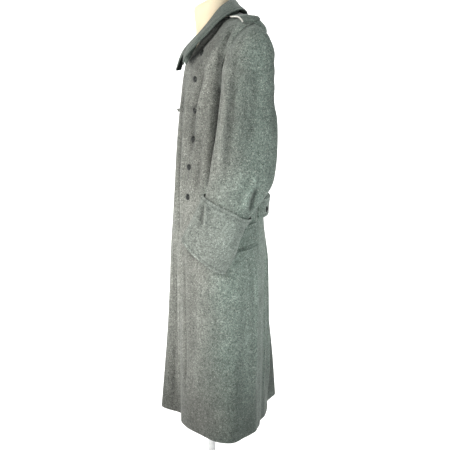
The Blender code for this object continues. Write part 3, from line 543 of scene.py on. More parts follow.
def subdivided(bm, name):
    """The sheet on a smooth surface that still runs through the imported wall's own points."""
    mesh = mesh_from(bm, name)
    obj = linked(name, mesh)
    surface = obj.modifiers.new("surface", "SUBSURF")
    surface.boundary_smooth = "PRESERVE_CORNERS"
    wanted = mesh_points(mesh)
    held = np.array(wanted)
    for step in range(SHAPE_PASSES + 1):
        last = step == SHAPE_PASSES
        surface.levels = surface.render_levels = SUBDIVISIONS if last else 1
        bpy.context.view_layer.update()
        done = bpy.data.meshes.new_from_object(obj.evaluated_get(bpy.context.evaluated_depsgraph_get()))
        if not last:
            held += CATCH_UP * (wanted - mesh_points(done)[:len(wanted)])
            set_points(mesh, held)
            bpy.data.meshes.remove(done)
    obj.modifiers.clear()
    obj.data = done
    bpy.data.meshes.remove(mesh)
    done.name = name
    return obj


def boundary_chains(mesh):
    """Rows of vertex numbers along the sheet's border, each a closed loop."""
    bm = bmesh.new()
    bm.from_mesh(mesh)
    bm.verts.ensure_lookup_table()
    open_edges = {e for e in bm.edges if e.is_boundary}
    chains = []
    while open_edges:
        edge = min(open_edges, key=lambda e: e.index)
        open_edges.discard(edge)
        chain = [edge.verts[0].index, edge.verts[1].index]
        while True:
            nxt = [e for e in bm.verts[chain[-1]].link_edges if e in open_edges]
            if not nxt:
                break
            open_edges.discard(nxt[0])
            chain.append(nxt[0].other_vert(bm.verts[chain[-1]]).index)
        chains.append(chain)
    bm.free()
    return chains


BORDER_REACH, BORDER_NEAR = 0.08, 0.05


def border_fields(mesh, is_kind):
    """Distance of each vertex from the border of one kind, and the run along that border."""
    points = mesh_points(mesh)
    gap = np.full(len(points), BORDER_REACH)
    run_at = np.zeros(len(points))
    for chain in boundary_chains(mesh):
        run = 0.0
        for i, j in zip(chain, chain[1:]):
            a, b = points[i], points[j]
            length = float(np.linalg.norm(b - a))
            if is_kind(Vector(a), Vector(b)):
                near = np.nonzero(np.all(np.abs(points - (a + b) / 2) < BORDER_NEAR + length, axis=1))[0]
                if len(near):
                    d = b - a
                    t = np.clip(((points[near] - a) @ d) / max(length ** 2, TINY), 0.0, 1.0)
                    far = np.linalg.norm(points[near] - (a + t[:, None] * d), axis=1)
                    closer = far < gap[near]
                    gap[near[closer]] = far[closer]
                    run_at[near[closer]] = run + t[closer] * length
            run += length
    return gap, run_at


ROWS_AT_ONCE = 400


def nearest_on_rows(points, starts, ends):
    """For each point the nearest place on rows of short segments, and its distance."""
    best = np.full(len(points), FAR)
    place = np.array(points)
    for k in range(0, len(starts), ROWS_AT_ONCE):
        a = starts[k:k + ROWS_AT_ONCE]
        d = ends[k:k + ROWS_AT_ONCE] - a
        square = np.maximum((d ** 2).sum(1), TINY)
        t = np.clip(((points[:, None] - a[None]) * d[None]).sum(2) / square, 0.0, 1.0)
        spot = a[None] + t[..., None] * d[None]
        gap = ((points[:, None] - spot) ** 2).sum(2)
        pick = gap.argmin(1)
        every = np.arange(len(points))
        nearer = gap[every, pick] < best
        best[nearer] = gap[every, pick][nearer]
        place[nearer] = spot[every, pick][nearer]
    return place, np.sqrt(best)


SEAM_REACH = 0.016        # borders further apart than this are not sewn together
SEAM_HOLD = 0.3           # the share of the reach over which the pull dies out
SEAM_EASE = 0.026         # how far into the sheet a seam's pull is felt
ARMHOLE_EASE = 0.022      # how far from the armhole a crease of one side only dies out


def close_seams(sheets, sewn):
    """Draws the borders of neighbouring sheets together where they are sewn.

    Gives, for each sheet, how far its points are from a border sewn to a sheet of other cloth.
    """
    borders = {}
    for obj, _ in sheets:
        points = mesh_points(obj.data)
        pairs = [(i, j) for chain in boundary_chains(obj.data) for i, j in zip(chain, chain[1:])
                 if sewn(obj.name, (points[i] + points[j]) / 2)]
        borders[obj.name] = points, np.array(pairs)
    far_from_armhole = {}
    for obj, cloth in sheets:
        points, pairs = borders[obj.name]
        border = np.unique(pairs)
        place, gap = np.array(points[border]), np.full(len(border), FAR)
        other_cloth = np.zeros(len(border), dtype=bool)
        for other, its_cloth in sheets:
            if other is obj:
                continue
            its_points, its_pairs = borders[other.name]
            spot, away = nearest_on_rows(points[border], its_points[its_pairs[:, 0]],
                                         its_points[its_pairs[:, 1]])
            nearer = away < gap
            place[nearer], gap[nearer] = spot[nearer], away[nearer]
            other_cloth[nearer] = its_cloth != cloth
        hold = ramp(gap, SEAM_REACH, -SEAM_HOLD * SEAM_REACH)
        shift = (place - points[border]) * 0.5 * hold[:, None]
        moved = np.array(points)
        tree = KDTree(len(border))
        armhole = KDTree(max(int((other_cloth & (gap < SEAM_REACH)).sum()), 1))
        for k, i in enumerate(border):
            tree.insert(Vector(points[i]), k)
            if other_cloth[k] and gap[k] < SEAM_REACH:
                armhole.insert(Vector(points[i]), k)
        tree.balance()
        armhole.balance()
        far = np.full(len(points), 1.0)
        for i, point in enumerate(points):
            found = tree.find(point)
            if found[2] < SEAM_EASE:
                ease = 1.0 - found[2] / SEAM_EASE
                moved[i] += shift[found[1]] * ease * ease * (3.0 - 2.0 * ease)
            found = armhole.find(point)
            if found[0] is not None:
                far[i] = found[2]
        set_points(obj.data, moved)
        far_from_armhole[obj.name] = far
    return far_from_armhole


def shape_cloth(obj, cloth, stitched, seamed, extra=None, from_armhole=None):
    """Raises the creases, sinks the seams and keeps the fields that the wool reads."""
    mesh = obj.data
    points, normals = mesh_points(mesh), per_point(mesh, "normal")
    height = relief(cloth, points, normals)
    if from_armhole is not None:
        height *= smooth(from_armhole / ARMHOLE_EASE)
        height += relief("shoulder", points, normals)
    seam_gap, _ = border_fields(mesh, seamed)
    edge_gap, edge_run = border_fields(mesh, stitched)
    height -= SEAM_DIP * (1.0 - smooth(seam_gap / SEAM_HALF))
    height -= STITCH_DIP * np.exp(-((edge_gap - STITCH_INSET) / STITCH_HALF) ** 2)
    if extra is not None:
        height += extra(points)
    set_points(mesh, points + normals * height[:, None])
    # painted shade and painted highlights, kept as a field that the wool multiplies into its colour
    kept = shade_of(cloth, obj.name[:-len("_cloth")], points, normals)
    for name, values in (("crest", height), ("kept_light", kept), ("stitch_gap", edge_gap),
                         ("stitch_run", edge_run), ("seam_gap", seam_gap)):
        field = mesh.attributes.new(name, "FLOAT", "POINT")
        field.data.foreach_set("value", np.asarray(values, dtype=np.float32))
    mesh.update()
    mesh.shade_smooth()


def thicken(obj, thick, edge, inner_slot):
    solid = obj.modifiers.new("thickness", "SOLIDIFY")
    solid.thickness = thick
    solid.offset = -1.0
    solid.use_even_offset = False
    solid.use_quality_normals = True
    solid.material_offset = inner_slot
    rounded = obj.modifiers.new("edge", "BEVEL")
    rounded.width = edge
    rounded.segments = 2
    rounded.limit_method = "ANGLE"
    rounded.angle_limit = EDGE_ANGLE


# Materials
MIX_A, MIX_B, MIX_RESULT = 6, 7, 2     # the colour sockets of a Mix node


class Finish:
    """A Principled material and short ways to add nodes to it."""

    def __init__(self, name):
        self.material = bpy.data.materials.new(name)
        self.material.use_nodes = True
        self.tree = self.material.node_tree
        self.shader = self.tree.nodes["Principled BSDF"]
        self.place = self.add("ShaderNodeTexCoord").outputs["Object"]

    def add(self, kind, **settings):
        node = self.tree.nodes.new(kind)
        for key, value in settings.items():
            setattr(node, key, value)
        return node

    def put(self, socket, value):
        if hasattr(value, "is_output"):
            self.tree.links.new(value, socket)
        else:
            socket.default_value = value

    def stretched(self, scale):
        node = self.add("ShaderNodeMapping")
        self.put(node.inputs["Vector"], self.place)
        node.inputs["Scale"].default_value = scale
        return node.outputs["Vector"]

    def noise(self, scale, detail=2.0, rough=0.55, vector=None):
        node = self.add("ShaderNodeTexNoise")
        self.put(node.inputs["Vector"], self.place if vector is None else vector)
        node.inputs["Scale"].default_value = scale
        node.inputs["Detail"].default_value = detail
        node.inputs["Roughness"].default_value = rough
        return node.outputs["Fac"]

    def cells(self, scale, vector=None):
        node = self.add("ShaderNodeTexVoronoi")
        self.put(node.inputs["Vector"], self.place if vector is None else vector)
        node.inputs["Scale"].default_value = scale
        split = self.add("ShaderNodeSeparateColor")
        self.put(split.inputs[0], node.outputs["Color"])
        return split.outputs[0]

    def math(self, operation, a, b=0.0, clamp=False):
        node = self.add("ShaderNodeMath", operation=operation, use_clamp=clamp)
        self.put(node.inputs[0], a)
        self.put(node.inputs[1], b)
        return node.outputs[0]

    def times(self, *values):
        product = values[0]
        for value in values[1:]:
            product = self.math("MULTIPLY", product, value)
        return product

    def waves(self, value, length):
        """A sine of the value with the given length."""
        return self.math("SINE", self.math("MULTIPLY", value, 2 * math.pi / length))

    def between(self, value, low, high, to_low=0.0, to_high=1.0, kind="SMOOTHSTEP"):
        node = self.add("ShaderNodeMapRange", interpolation_type=kind)
        self.put(node.inputs["Value"], value)
        node.inputs["From Min"].default_value = low
        node.inputs["From Max"].default_value = high
        node.inputs["To Min"].default_value = to_low
        node.inputs["To Max"].default_value = to_high
        return node.outputs["Result"]

    def mix(self, share, a, b, blend="MIX"):
        node = self.add("ShaderNodeMix", data_type="RGBA", blend_type=blend)
        self.put(node.inputs["Factor"], share)
        for socket, colour in ((node.inputs[MIX_A], a), (node.inputs[MIX_B], b)):
            if isinstance(colour, tuple) and len(colour) == 3:
                colour = (*colour, 1.0)
            self.put(socket, colour)
        return node.outputs[MIX_RESULT]

    def field(self, name):
        return self.add("ShaderNodeAttribute", attribute_name=name).outputs["Fac"]

    def axis(self, index):
        split = self.add("ShaderNodeSeparateXYZ")
        self.put(split.inputs[0], self.place)
        return split.outputs[index]

    def bump(self, height, strength, distance, below=None):
        node = self.add("ShaderNodeBump")
        node.inputs["Strength"].default_value = strength
        node.inputs["Distance"].default_value = distance
        self.put(node.inputs["Height"], height)
        if below is not None:
            self.put(node.inputs["Normal"], below)
        return node.outputs["Normal"]

    def finish(self, colour, roughness, normal=None, **constants):
        self.put(self.shader.inputs["Base Color"], colour)
        self.put(self.shader.inputs["Roughness"], roughness)
        if normal is not None:
            self.put(self.shader.inputs["Normal"], normal)
        for key, value in constants.items():
            self.shader.inputs[key.replace("_", " ")].default_value = value
        return self.material


def wool(name, warm, green, dark, light, fleck=1.0, skirt=True):
    """Heathered felted wool: light and dark hairs in a green grey, with a painted warm tint of light at the
    front.
    """
    f = Finish(name)
    # painted warm light at the front and above, the wool's green at the back
    above = f.between(f.axis(2), 0.95, 1.10, 0.0, 0.055)
    wander = f.math("MULTIPLY", f.noise(5.0, 3.0), 0.14)
    drift = f.between(f.math("SUBTRACT", f.math("ADD", f.axis(1), wander), above), -0.02, 0.11)
    colour = f.mix(drift, warm, green)
    # hairs of other colours, and the grain of the felt
    patchy = f.between(f.noise(17.0, 4.0, 0.6), 0.30, 0.72, 0.90, 1.10)
    salt = f.between(f.cells(520.0), 0.74, 0.96, 0.0, 0.60 * fleck)
    pepper = f.between(f.cells(470.0, f.stretched((1.0, 1.0, 0.8))), 0.72, 0.97, 0.0, 0.62 * fleck)
    clumps = f.between(f.noise(230.0, 2.0, 0.7), 0.36, 0.64)
    colour = f.mix(f.times(pepper, f.math("SUBTRACT", 1.25, clumps)), colour, dark)
    colour = f.mix(f.times(salt, clumps), colour, light)
    grain = f.between(f.cells(330.0), 0.0, 1.0, 1.0 - 0.30 * fleck, 1.0 + 0.30 * fleck, "LINEAR")
    soft = f.between(f.noise(120.0, 3.0, 0.6), 0.30, 0.70, 0.84, 1.16)
    # painted shade in hollows, at the hem and on the chest; painted light on ridges and from mid-skirt up
    hollow = f.between(f.field("crest"), -0.011, 0.0, 0.36, 1.0, "LINEAR")
    ridge = f.between(f.field("crest"), 0.0, 0.009, 1.0, 1.24, "LINEAR")
    hem = f.between(f.axis(2), 0.22, 0.62, 0.42, 1.0)
    waist = f.between(f.axis(2), 0.55, 0.80, 1.0, 1.22 if skirt else 1.0)
    chest = f.between(f.axis(2), 0.88, 1.25, 1.0, 0.69)
    # edges, seams and the row of stitches, with painted shade in the stitches' groove
    gap = f.field("stitch_gap")
    off_line = f.math("ABSOLUTE", f.math("SUBTRACT", gap, STITCH_INSET))
    groove = f.between(off_line, 0.0, 0.0034)
    worn = f.between(gap, 0.0, 0.0045, 1.10, 1.0)
    seam = f.between(f.field("seam_gap"), 0.0, 0.0030, 0.80, 1.0)
    sunk = f.between(groove, 0.0, 1.0, 0.86, 1.0, "LINEAR")
    line = f.math("SUBTRACT", 1.0, f.between(off_line, 0.0004, 0.0013))
    dash = f.between(f.waves(f.field("stitch_run"), STITCH_LENGTH), -0.6, 0.2)
    thread = f.times(line, dash)
    tone = f.times(soft, patchy, grain, hollow, ridge, hem, waist, chest, f.field("kept_light"),
                   worn, seam, sunk)
    colour = f.mix(1.0, colour, tone, "MULTIPLY")
    colour = f.mix(f.times(thread, 0.55), colour, tuple(0.75 * c for c in green))
    hair, felt = f.noise(900.0, 2.0, 0.7), f.noise(260.0, 3.0, 0.65)
    nap = f.bump(f.math("ADD", f.times(hair, 0.6), felt), 0.55, 0.0011)
    normal = f.bump(f.math("ADD", groove, f.times(thread, 0.8)), 0.7, 0.0009, nap)
    return f.finish(colour, 0.94, normal, Sheen_Weight=0.22, Sheen_Roughness=0.45,
                    Sheen_Tint=(0.78, 0.82, 0.78, 1.0), Specular_IOR_Level=0.18)


def button_finish(name):
    f = Finish(name)
    worn = f.between(f.noise(300.0, 3.0), 0.45, 0.75)
    colour = f.mix(worn, (0.012, 0.014, 0.013), (0.045, 0.050, 0.046))
    normal = f.bump(f.noise(1500.0, 2.0, 0.6), 0.35, 0.0004)
    return f.finish(colour, f.between(f.noise(220.0, 3.0), 0.3, 0.7, 0.32, 0.55), normal,
                    Metallic=0.35, Specular_IOR_Level=0.5)


def thread_finish(name):
    """Waxed buttonhole thread, laid side by side across the slit."""
    f = Finish(name)
    strands = f.between(f.waves(f.axis(0), 0.0009), -1.0, 1.0)
    colour = f.mix(strands, (0.035, 0.045, 0.038), (0.105, 0.125, 0.108))
    return f.finish(colour, 0.6, f.bump(strands, 0.6, 0.0003), Sheen_Weight=0.1, Specular_IOR_Level=0.35)


def piping_finish(name):
    f = Finish(name)
    colour = f.mix(f.between(f.noise(180.0, 3.0), 0.35, 0.70), (0.80, 0.79, 0.73), (0.62, 0.61, 0.55))
    normal = f.bump(f.noise(1400.0, 2.0, 0.7), 0.6, 0.0006)
    return f.finish(colour, 0.9, normal, Sheen_Weight=0.15, Specular_IOR_Level=0.2)


def form_finish(name):
    f = Finish(name)
    tone = f.between(f.noise(7.0, 4.0, 0.5), 0.30, 0.70)
    colour = f.mix(tone, (0.79, 0.64, 0.43), (0.85, 0.73, 0.53))
    knit = f.noise(700.0, 2.0, 0.6, f.stretched((1.0, 1.0, 0.5)))
    normal = f.bump(knit, 0.25, 0.0005)
    return f.finish(colour, 0.62, normal, Sheen_Weight=0.08, Specular_IOR_Level=0.35)


def stand_finish(name):
    f = Finish(name)
    colour = f.mix(f.between(f.noise(90.0, 4.0), 0.35, 0.70), (0.60, 0.61, 0.61), (0.68, 0.69, 0.69))
    normal = f.bump(f.noise(600.0, 2.0), 0.12, 0.0003)
    return f.finish(colour, f.between(f.noise(40.0, 3.0), 0.3, 0.7, 0.30, 0.42), normal,
                    Metallic=0.15, Specular_IOR_Level=0.5)


WOOL = wool("heathered_wool", (0.188, 0.192, 0.173), (0.150, 0.188, 0.164),
            (0.045, 0.060, 0.052), (0.46, 0.48, 0.43))
# the cuff: the coat's wool made lighter, as painted light where the light falls on it
CUFF_WOOL = wool("cuff_wool", (0.216, 0.234, 0.210), (0.198, 0.233, 0.207),
                 (0.055, 0.075, 0.067), (0.48, 0.52, 0.47), 1.0, False)
COLLAR_WOOL = wool("collar_wool", (0.088, 0.108, 0.093), (0.082, 0.108, 0.093),
                   (0.030, 0.042, 0.038), (0.24, 0.27, 0.24), 0.7)
STRAP_WOOL = wool("strap_wool", (0.120, 0.140, 0.122), (0.110, 0.138, 0.120),
                  (0.036, 0.050, 0.044), (0.32, 0.35, 0.31), 0.8)
# the collar's underside: dark felt, made near black as painted shade
UNDER_COLLAR = wool("under_collar_felt", (0.030, 0.040, 0.038), (0.026, 0.038, 0.036),
                    (0.012, 0.018, 0.017), (0.07, 0.09, 0.085), 0.5)
BUTTON = button_finish("dark_button")
THREAD = thread_finish("buttonhole_thread")
PIPING = piping_finish("white_piping")
FORM = form_finish("cream_jersey")
STAND = stand_finish("painted_steel")

# Cloth pieces: the cut of each before it was sewn, its width, length and flat area, and how it is held
Cut = namedtuple("Cut", "width length area held")


def hand_over(obj, node=None):
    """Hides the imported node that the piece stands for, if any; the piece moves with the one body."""
    if node is not None:
        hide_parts(node)
    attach(obj, "root")


def finish_piece(obj, node, thick, material, inner=None, edge=CLOTH_EDGE):
    """Gives the sheet its wool and thickness, and hands it over to the one body."""
    obj.data.materials.clear()
    obj.data.materials.append(material)
    if inner is not None:
        obj.data.materials.append(inner)
    thicken(obj, thick, edge, 1 if inner is not None else 0)
    hand_over(obj, node)


# Kinds of border
HEM_TOP = 0.276
HEM_ROW = 0.004
LAPEL_TOP = 1.40
LAP_ANGLE = 50.0
VENT_TOP = 0.86
VENT_ANGLES = 150.0, 200.0
SEWN_ANGLES = 55.0, 305.0


def around(p):
    """Degrees round the body from the centre front over the wearer's left."""
    return math.degrees(math.atan2(p.x, -(p.y - BODY_AXIS.y))) % 360.0


def near_vertical(a, b):
    return abs(b.z - a.z) > 0.6 * (b - a).length


def front_edge(a, b):
    """The free edge of a front, not its hem, neck or side seam."""
    middle = (a + b) / 2
    angle = around(middle)
    return near_vertical(a, b) and min(angle, 360.0 - angle) < LAP_ANGLE and middle.z < LAPEL_TOP


def vent_edge(a, b):
    middle = (a + b) / 2
    return near_vertical(a, b) and middle.z < VENT_TOP and VENT_ANGLES[0] < around(middle) < VENT_ANGLES[1]


def hem_edge(a, b):
    return max(a.z, b.z) < HEM_TOP


def never(a, b):
    return False


def always(a, b):
    return True


def is_sewn(name, place):
    """Whether a border place of a panel or sleeve is sewn to its neighbour."""
    if name.startswith("sleeve"):
        return True
    return place[2] > HEM_TOP + HEM_ROW and SEWN_ANGLES[0] < around(Vector(place)) < SEWN_ANGLES[1]


FRONT_BUTTONS = [mesh_points(nodes[name].data).mean(0) for name in sorted(nodes)
                 if name.startswith("front_button")]
DIMPLE, DIMPLE_UNEVEN, DIMPLE_HALF = 0.0020, 0.0006, 0.015


def button_dimples(points):
    """The cloth is drawn in round each front button."""
    total = np.zeros(len(points))
    for i, centre in enumerate(FRONT_BUTTONS):
        gap = np.linalg.norm(points - centre, axis=1)
        total -= (DIMPLE + DIMPLE_UNEVEN * math.sin(2.7 * i)) * np.exp(-(gap / DIMPLE_HALF) ** 2)
    return total


def make_panels_and_sleeves():
    sheets = []
    for node in BODY_PANELS:
        sheets.append((subdivided(outer_sheet(node, from_axis), node + "_cloth"), "body"))
    for side in SIDES:
        for part in ("upper", "under"):
            node = "sleeve_{}_{}".format(side, part)
            sheet = outer_sheet(node, from_middle_of(node))
            sheets.append((subdivided(sheet, node + "_cloth"), side + "_sleeve"))
    for obj, cloth in sheets:
        move = {"left_sleeve": drawn_in, "body": flared}.get(cloth)
        if move is not None:
            set_points(obj.data, move(mesh_points(obj.data)))
    from_armhole = close_seams(sheets, is_sewn)
    for obj, cloth in sheets:
        node = obj.name[:-len("_cloth")]
        edge_test = front_edge if node.startswith("front") else vent_edge if node == "back_left" else never

        def seamed(a, b):
            return not edge_test(a, b) and (cloth != "body" or not hem_edge(a, b))
        shape_cloth(obj, cloth, edge_test, seamed, extra=button_dimples if node == "front_left" else None,
                    from_armhole=from_armhole[obj.name])
        finish_piece(obj, node, WOOL_THICK, WOOL)


def make_cuffs():
    for side in SIDES:
        node = "cuff_" + side
        obj = subdivided(outer_sheet(node, from_middle_of(node)), node + "_cloth")
        if side == "left":
            set_points(obj.data, drawn_in(mesh_points(obj.data)))
        shape_cloth(obj, side + "_cuff", always, never)
        finish_piece(obj, node, CUFF_THICK, CUFF_WOOL)


# The far fall of the collar: its front part, and how far its outer edge droops along Y and Z
FAR_FALL_X, FAR_FALL_Y = -0.080, -0.045
FALL_WIDTH = 0.048
FALL_DROOP = 0.013, -0.012
PAST_NECK, BEFORE_POINT = (-0.077, -0.012), (-0.138, 0.030)
# The collar's neck seam: a round row on the body, about the middle of the neck
NECK_RADIUS, NECK_HALF, NECK_BACK, NECK_LOW = 0.096, 0.09, 0.01, 1.33
ON_BODY = 0.004


def droop_far_fall(obj):
    """The far fall's outer edge droops behind its point, so that its underside shows past the near one."""
    points = mesh_points(obj.data)
    x = points[:, 0]
    gap, _ = border_fields(obj.data, lambda a, b: max(a.x, b.x) < FAR_FALL_X and max(a.y, b.y) < FAR_FALL_Y)
    share = ramp(gap, FALL_WIDTH, -FALL_WIDTH) * ramp(x, *PAST_NECK) * ramp(x, *BEFORE_POINT)
    points[:, 1] += FALL_DROOP[0] * share
    points[:, 2] += FALL_DROOP[1] * share
    set_points(obj.data, points)


def make_collar():
    obj = subdivided(outer_sheet("collar", from_middle_of("collar")), "collar_cloth")
    droop_far_fall(obj)

    def seamed(a, b):
        middle = (a + b) / 2
        in_neck = math.hypot(middle.x, middle.y + NECK_BACK) < NECK_RADIUS and abs(middle.x) < NECK_HALF
        return in_neck and middle.z > NECK_LOW and TREES["body"].find_nearest(middle)[3] < ON_BODY

    def stitched(a, b):
        return not seamed(a, b)
    shape_cloth(obj, "collar", stitched, seamed)
    finish_piece(obj, "collar", COLLAR_THICK, COLLAR_WOOL, UNDER_COLLAR)


# Straps and their piping: height over the finished cloth, and the bend of the outer end
STRAP_LIFT, PIPING_LIFT = 0.0072, 0.0052
STRAP_BEND, BEND_FROM, BEND_OVER = 0.008, 0.200, 0.034
ABOVE = Vector((0.0, 0.0, 0.06))


def cloth_tree(*names):
    bm = bmesh.new()
    for name in names:
        bm.from_mesh(bpy.data.objects[name + "_cloth"].data)
    tree = BVHTree.FromBMesh(bm)
    bm.free()
    return tree


def laid_on_shoulder(mesh, side, height):
    """Lays a strap or its piping on the finished cloth of the shoulder, never under it."""
    tree = cloth_tree("front_" + side, "back_" + side, "sleeve_{}_upper".format(side))
    points = mesh_points(mesh)
    points[:, 2] -= STRAP_BEND * ramp(np.abs(points[:, 0]), BEND_FROM, BEND_OVER)
    for i, point in enumerate(points):
        hit = tree.ray_cast(Vector(point) + ABOVE, -ABOVE.normalized())[0]
        if hit is not None:
            points[i, 2] = max(point[2], hit.z + height)
    set_points(mesh, points)


# Small pieces of cloth; the flaps share the body's creases
SmallCloth = namedtuple("SmallCloth", "name inside thick creases wool")
SMALL_CLOTH = (
    SmallCloth("pocket_flap", from_axis, FLAP_THICK, "body", WOOL),
    SmallCloth("half_belt", from_axis, FLAP_THICK, None, WOOL),
    SmallCloth("shoulder_strap", from_below, STRAP_THICK, None, STRAP_WOOL),
)


def make_small_cloth():
    for piece in SMALL_CLOTH:
        for side in SIDES:
            node = piece.name + "_" + side
            obj = subdivided(outer_sheet(node, piece.inside), node + "_cloth")
            if piece.name == "shoulder_strap":
                laid_on_shoulder(obj.data, side, STRAP_LIFT)
            shape_cloth(obj, piece.creases, always, never)
            finish_piece(obj, node, piece.thick, piece.wool, edge=SMALL_EDGE)


# Buttons: shares of the radius and the height, from the middle of the underside over the rim
BUTTON_PROFILE = ((0.0, 0.0), (0.82, 0.0), (0.97, 0.10), (1.0, 0.26), (0.955, 0.44), (0.88, 0.50),
                  (0.80, 0.47), (0.74, 0.56), (0.58, 0.76), (0.34, 0.93), (0.0, 1.0))
BUTTON_STEPS = 28
ButtonSize = namedtuple("ButtonSize", "radius height")
COAT_BUTTON, STRAP_BUTTON = ButtonSize(0.0098, 0.0062), ButtonSize(0.0085, 0.0050)
BUTTON_TILT, BUTTON_SUNK = 0.13, 0.0012
LOOK_FROM = 0.05


def turned_button(size):
    """A domed button with a rolled rim, standing on the XY plane."""
    bm = bmesh.new()
    verts = [bm.verts.new((r * size.radius, 0.0, z * size.height)) for r, z in BUTTON_PROFILE]
    edges = [bm.edges.new(pair) for pair in zip(verts, verts[1:])]
    bmesh.ops.spin(bm, geom=verts + edges, cent=(0, 0, 0), axis=(0, 0, 1), angle=2 * math.pi,
                   steps=BUTTON_STEPS, use_merge=True)
    bmesh.ops.remove_doubles(bm, verts=bm.verts, dist=DOUBLES)
    bmesh.ops.recalc_face_normals(bm, faces=bm.faces)
    return bm


def button_frame(node):
    """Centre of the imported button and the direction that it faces, away from the body."""
    points = mesh_points(nodes[node].data)
    centre = Vector(points.mean(0))
    normal = Vector(np.linalg.svd(points - points.mean(0))[2][2])
    out = ABOVE if node.startswith("strap") else centre - from_axis(centre)
    return centre, normal if normal.dot(out) >= 0.0 else -normal


def make_buttons():
    front = [cloth_tree("front_left")]
    belts = [cloth_tree("half_belt_left"), cloth_tree("half_belt_right")]
    for i, node in enumerate(name for name in sorted(nodes) if "button" in name):
        centre, normal = button_frame(node)
        size = STRAP_BUTTON if node.startswith("strap") else COAT_BUTTON
        if node.startswith("strap"):
            seats = [cloth_tree(node.replace("strap_button", "shoulder_strap"))]
        else:
            seats = front if node.startswith("front") else belts
        found = [seat.ray_cast(centre + normal * LOOK_FROM, -normal) for seat in seats]
        foot = min((f for f in found if f[0] is not None), key=lambda f: f[3])[0]
        tilt = Vector((math.sin(1.9 * i), math.cos(2.9 * i), math.sin(4.1 * i + 1.0))) * BUTTON_TILT
        facing = (normal + tilt).normalized()
        bm = turned_button(size)
        turn = facing.to_track_quat("Z", "Y").to_matrix().to_4x4()
        bmesh.ops.transform(bm, matrix=turn, verts=bm.verts)
        bmesh.ops.translate(bm, vec=foot - facing * BUTTON_SUNK, verts=bm.verts)
        mesh = mesh_from(bm, node + "_domed")
        mesh.shade_smooth()
        mesh.materials.append(BUTTON)
        hand_over(linked(mesh.name, mesh), node)


# Buttonholes: half length and half width of the worked lip and of the slit in it
Slit = namedtuple("Slit", "length width")
LIP, SLIT = Slit(0.0125, 0.0026), Slit(0.0112, 0.0007)
HOLE_ASIDE, HOLE_LIFT, HOLE_THICK = 0.0105, 0.0002, 0.0011
HOLE_STEPS = 28


def make_buttonholes():
    """A worked slit beside each button of the far column, towards the lap's free edge."""
    lap = cloth_tree("front_left")
    for i, node in enumerate(name for name in sorted(nodes) if name.startswith("front_button_right")):
        centre, normal = button_frame(node)
        across = Vector((0.0, 0.0, 1.0)).cross(normal).normalized()
        if across.x > 0.0:
            across = -across
        middle, facing = lap.find_nearest(centre + across * HOLE_ASIDE)[:2]
        if facing.dot(normal) < 0.0:
            facing = -facing
        across = (across - facing * across.dot(facing)).normalized()
        up = facing.cross(across)
        bm = bmesh.new()
        bmesh.ops.create_circle(bm, segments=HOLE_STEPS, radius=1.0)
        ring = bmesh.ops.extrude_edge_only(bm, edges=bm.edges[:])
        inner = {v for v in ring["geom"] if isinstance(v, bmesh.types.BMVert)}
        for vert in bm.verts:
            angle = math.atan2(vert.co.y, vert.co.x)
            half = SLIT if vert in inner else LIP
            vert.co = middle + across * half.length * math.cos(angle) \
                + up * half.width * math.sin(angle) + facing * HOLE_LIFT
        bmesh.ops.solidify(bm, geom=bm.faces[:], thickness=HOLE_THICK)
        bmesh.ops.recalc_face_normals(bm, faces=bm.faces)
        mesh = mesh_from(bm, "buttonhole_{}".format(i + 1))
        mesh.shade_smooth()
        mesh.materials.append(THREAD)
        hand_over(linked(mesh.name, mesh))


# The form stays this far inside the coat, from the foot of its bare neck on
FORM_SHRINK, BARE_NECK, NECK_EASE = 0.014, 0.066, 0.018
PIPING_SWELL = 0.0011
JOIN_FLAT_FACES, JOIN_FLAT_SHAPES = 0.9, 2.4
SHARP_EDGE = 0.8


def smooth_copy(node, name, material, slot, sharp_dot):
    """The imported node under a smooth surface, with its sharp turns kept firmer."""
    bm = bmesh.new()
    bm.from_mesh(nodes[node].data)
    bmesh.ops.remove_doubles(bm, verts=bm.verts, dist=DOUBLES)
    bm.normal_update()
    bmesh.ops.join_triangles(bm, faces=bm.faces, angle_face_threshold=JOIN_FLAT_FACES,
                             angle_shape_threshold=JOIN_FLAT_SHAPES)
    bm.normal_update()
    layer = bm.edges.layers.float.new("crease_edge")
    for edge in bm.edges:
        if len(edge.link_faces) == 2:
            a, b = edge.link_faces
            edge[layer] = SHARP_EDGE if a.normal.dot(b.normal) < sharp_dot else 0.0
    for vert, normal in [(v, v.normal.copy()) for v in bm.verts]:
        grow = PIPING_SWELL
        if slot == "form":
            from_neck = math.hypot(vert.co.x, vert.co.y - FORM_NECK_Y)
            grow = -FORM_SHRINK * float(ramp(from_neck, BARE_NECK, NECK_EASE))
        vert.co += normal * grow
    mesh = mesh_from(bm, name)
    if slot == "piping":
        laid_on_shoulder(mesh, node.rsplit("_", 1)[1], PIPING_LIFT)
    obj = linked(name, mesh)
    surface = obj.modifiers.new("surface", "SUBSURF")
    surface.levels = surface.render_levels = 1
    mesh.shade_smooth()
    mesh.materials.append(material)
    hand_over(obj, node)


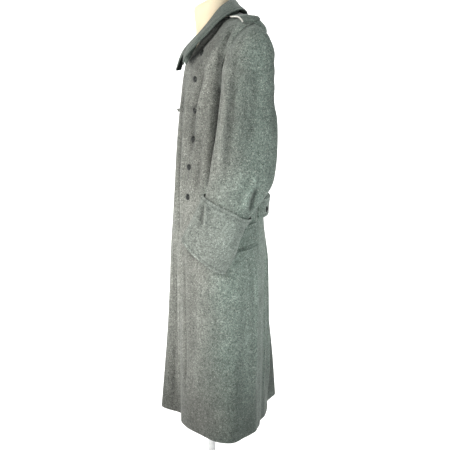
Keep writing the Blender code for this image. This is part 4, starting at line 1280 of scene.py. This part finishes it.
# Studio: the floor's profile from the front, rising into a wall behind, and its lamps
COVE = ((9.0, 0.0), (-4.5, 0.0), (-5.3, 0.12), (-5.9, 0.5), (-6.2, 1.1), (-6.3, 2.0), (-6.3, 7.0))
COVE_WIDTH = 18.0
Lamp = namedtuple("Lamp", "name at target size power colour")
LAMPS = (
    Lamp("key", (2.0, -2.3, 1.9), (0.1, 0.0, 0.95), 1.4, 76.0, (1.0, 0.99, 0.965)),
    Lamp("fill", (3.1, 0.9, 1.9), (0.1, 0.0, 0.9), 2.0, 30.0, (0.95, 0.99, 1.0)),
    Lamp("backdrop", (-3.3, 0.0, 3.6), (-3.5, 0.0, 0.0), 4.6, 240.0, (1.0, 1.0, 1.0)),
)
WHITE = (1.0, 1.0, 1.0, 1.0)


def make_floor():
    bm = bmesh.new()
    verts = [bm.verts.new((x, -COVE_WIDTH / 2, z)) for x, z in COVE]
    edges = [bm.edges.new(pair) for pair in zip(verts, verts[1:])]
    extruded = bmesh.ops.extrude_edge_only(bm, edges=edges)
    moved = [v for v in extruded["geom"] if isinstance(v, bmesh.types.BMVert)]
    bmesh.ops.translate(bm, vec=(0.0, COVE_WIDTH, 0.0), verts=moved)
    bmesh.ops.recalc_face_normals(bm, faces=bm.faces)
    mesh = mesh_from(bm, "studio_floor")
    mesh.shade_smooth()
    material = bpy.data.materials.new("pale_backdrop")
    material.use_nodes = True
    settings = {"Base Color": (0.93, 0.93, 0.925, 1.0), "Roughness": 0.9, "Specular IOR Level": 0.1,
                "Emission Color": WHITE, "Emission Strength": 0.40}
    for key, value in settings.items():
        material.node_tree.nodes["Principled BSDF"].inputs[key].default_value = value
    mesh.materials.append(material)
    linked("studio_floor", mesh)


def make_lights():
    for lamp in LAMPS:
        data = bpy.data.lights.new(lamp.name, "AREA")
        data.shape = "DISK"
        data.size = lamp.size
        data.energy = lamp.power
        data.color = lamp.colour
        obj = linked(lamp.name, data)
        obj.location = lamp.at
        aim = Vector(lamp.target) - Vector(lamp.at)
        obj.rotation_euler = aim.to_track_quat("-Z", "Y").to_euler()
    world = bpy.data.worlds.new("studio_air")
    scene.world = world
    world.use_nodes = True
    background = world.node_tree.nodes["Background"]
    background.inputs["Color"].default_value = WHITE
    background.inputs["Strength"].default_value = 0.32


make_panels_and_sleeves()
make_cuffs()
make_collar()
make_small_cloth()
make_buttons()
make_buttonholes()
smooth_copy("form_torso", "form_jersey", FORM, "form", 0.6)
for side in SIDES:
    smooth_copy("strap_piping_" + side, "strap_cord_" + side, PIPING, "piping", 0.2)
for node in ("stand_pole", "stand_base"):
    nodes[node].data.materials.clear()
    nodes[node].data.materials.append(STAND)
make_floor()
make_lights()
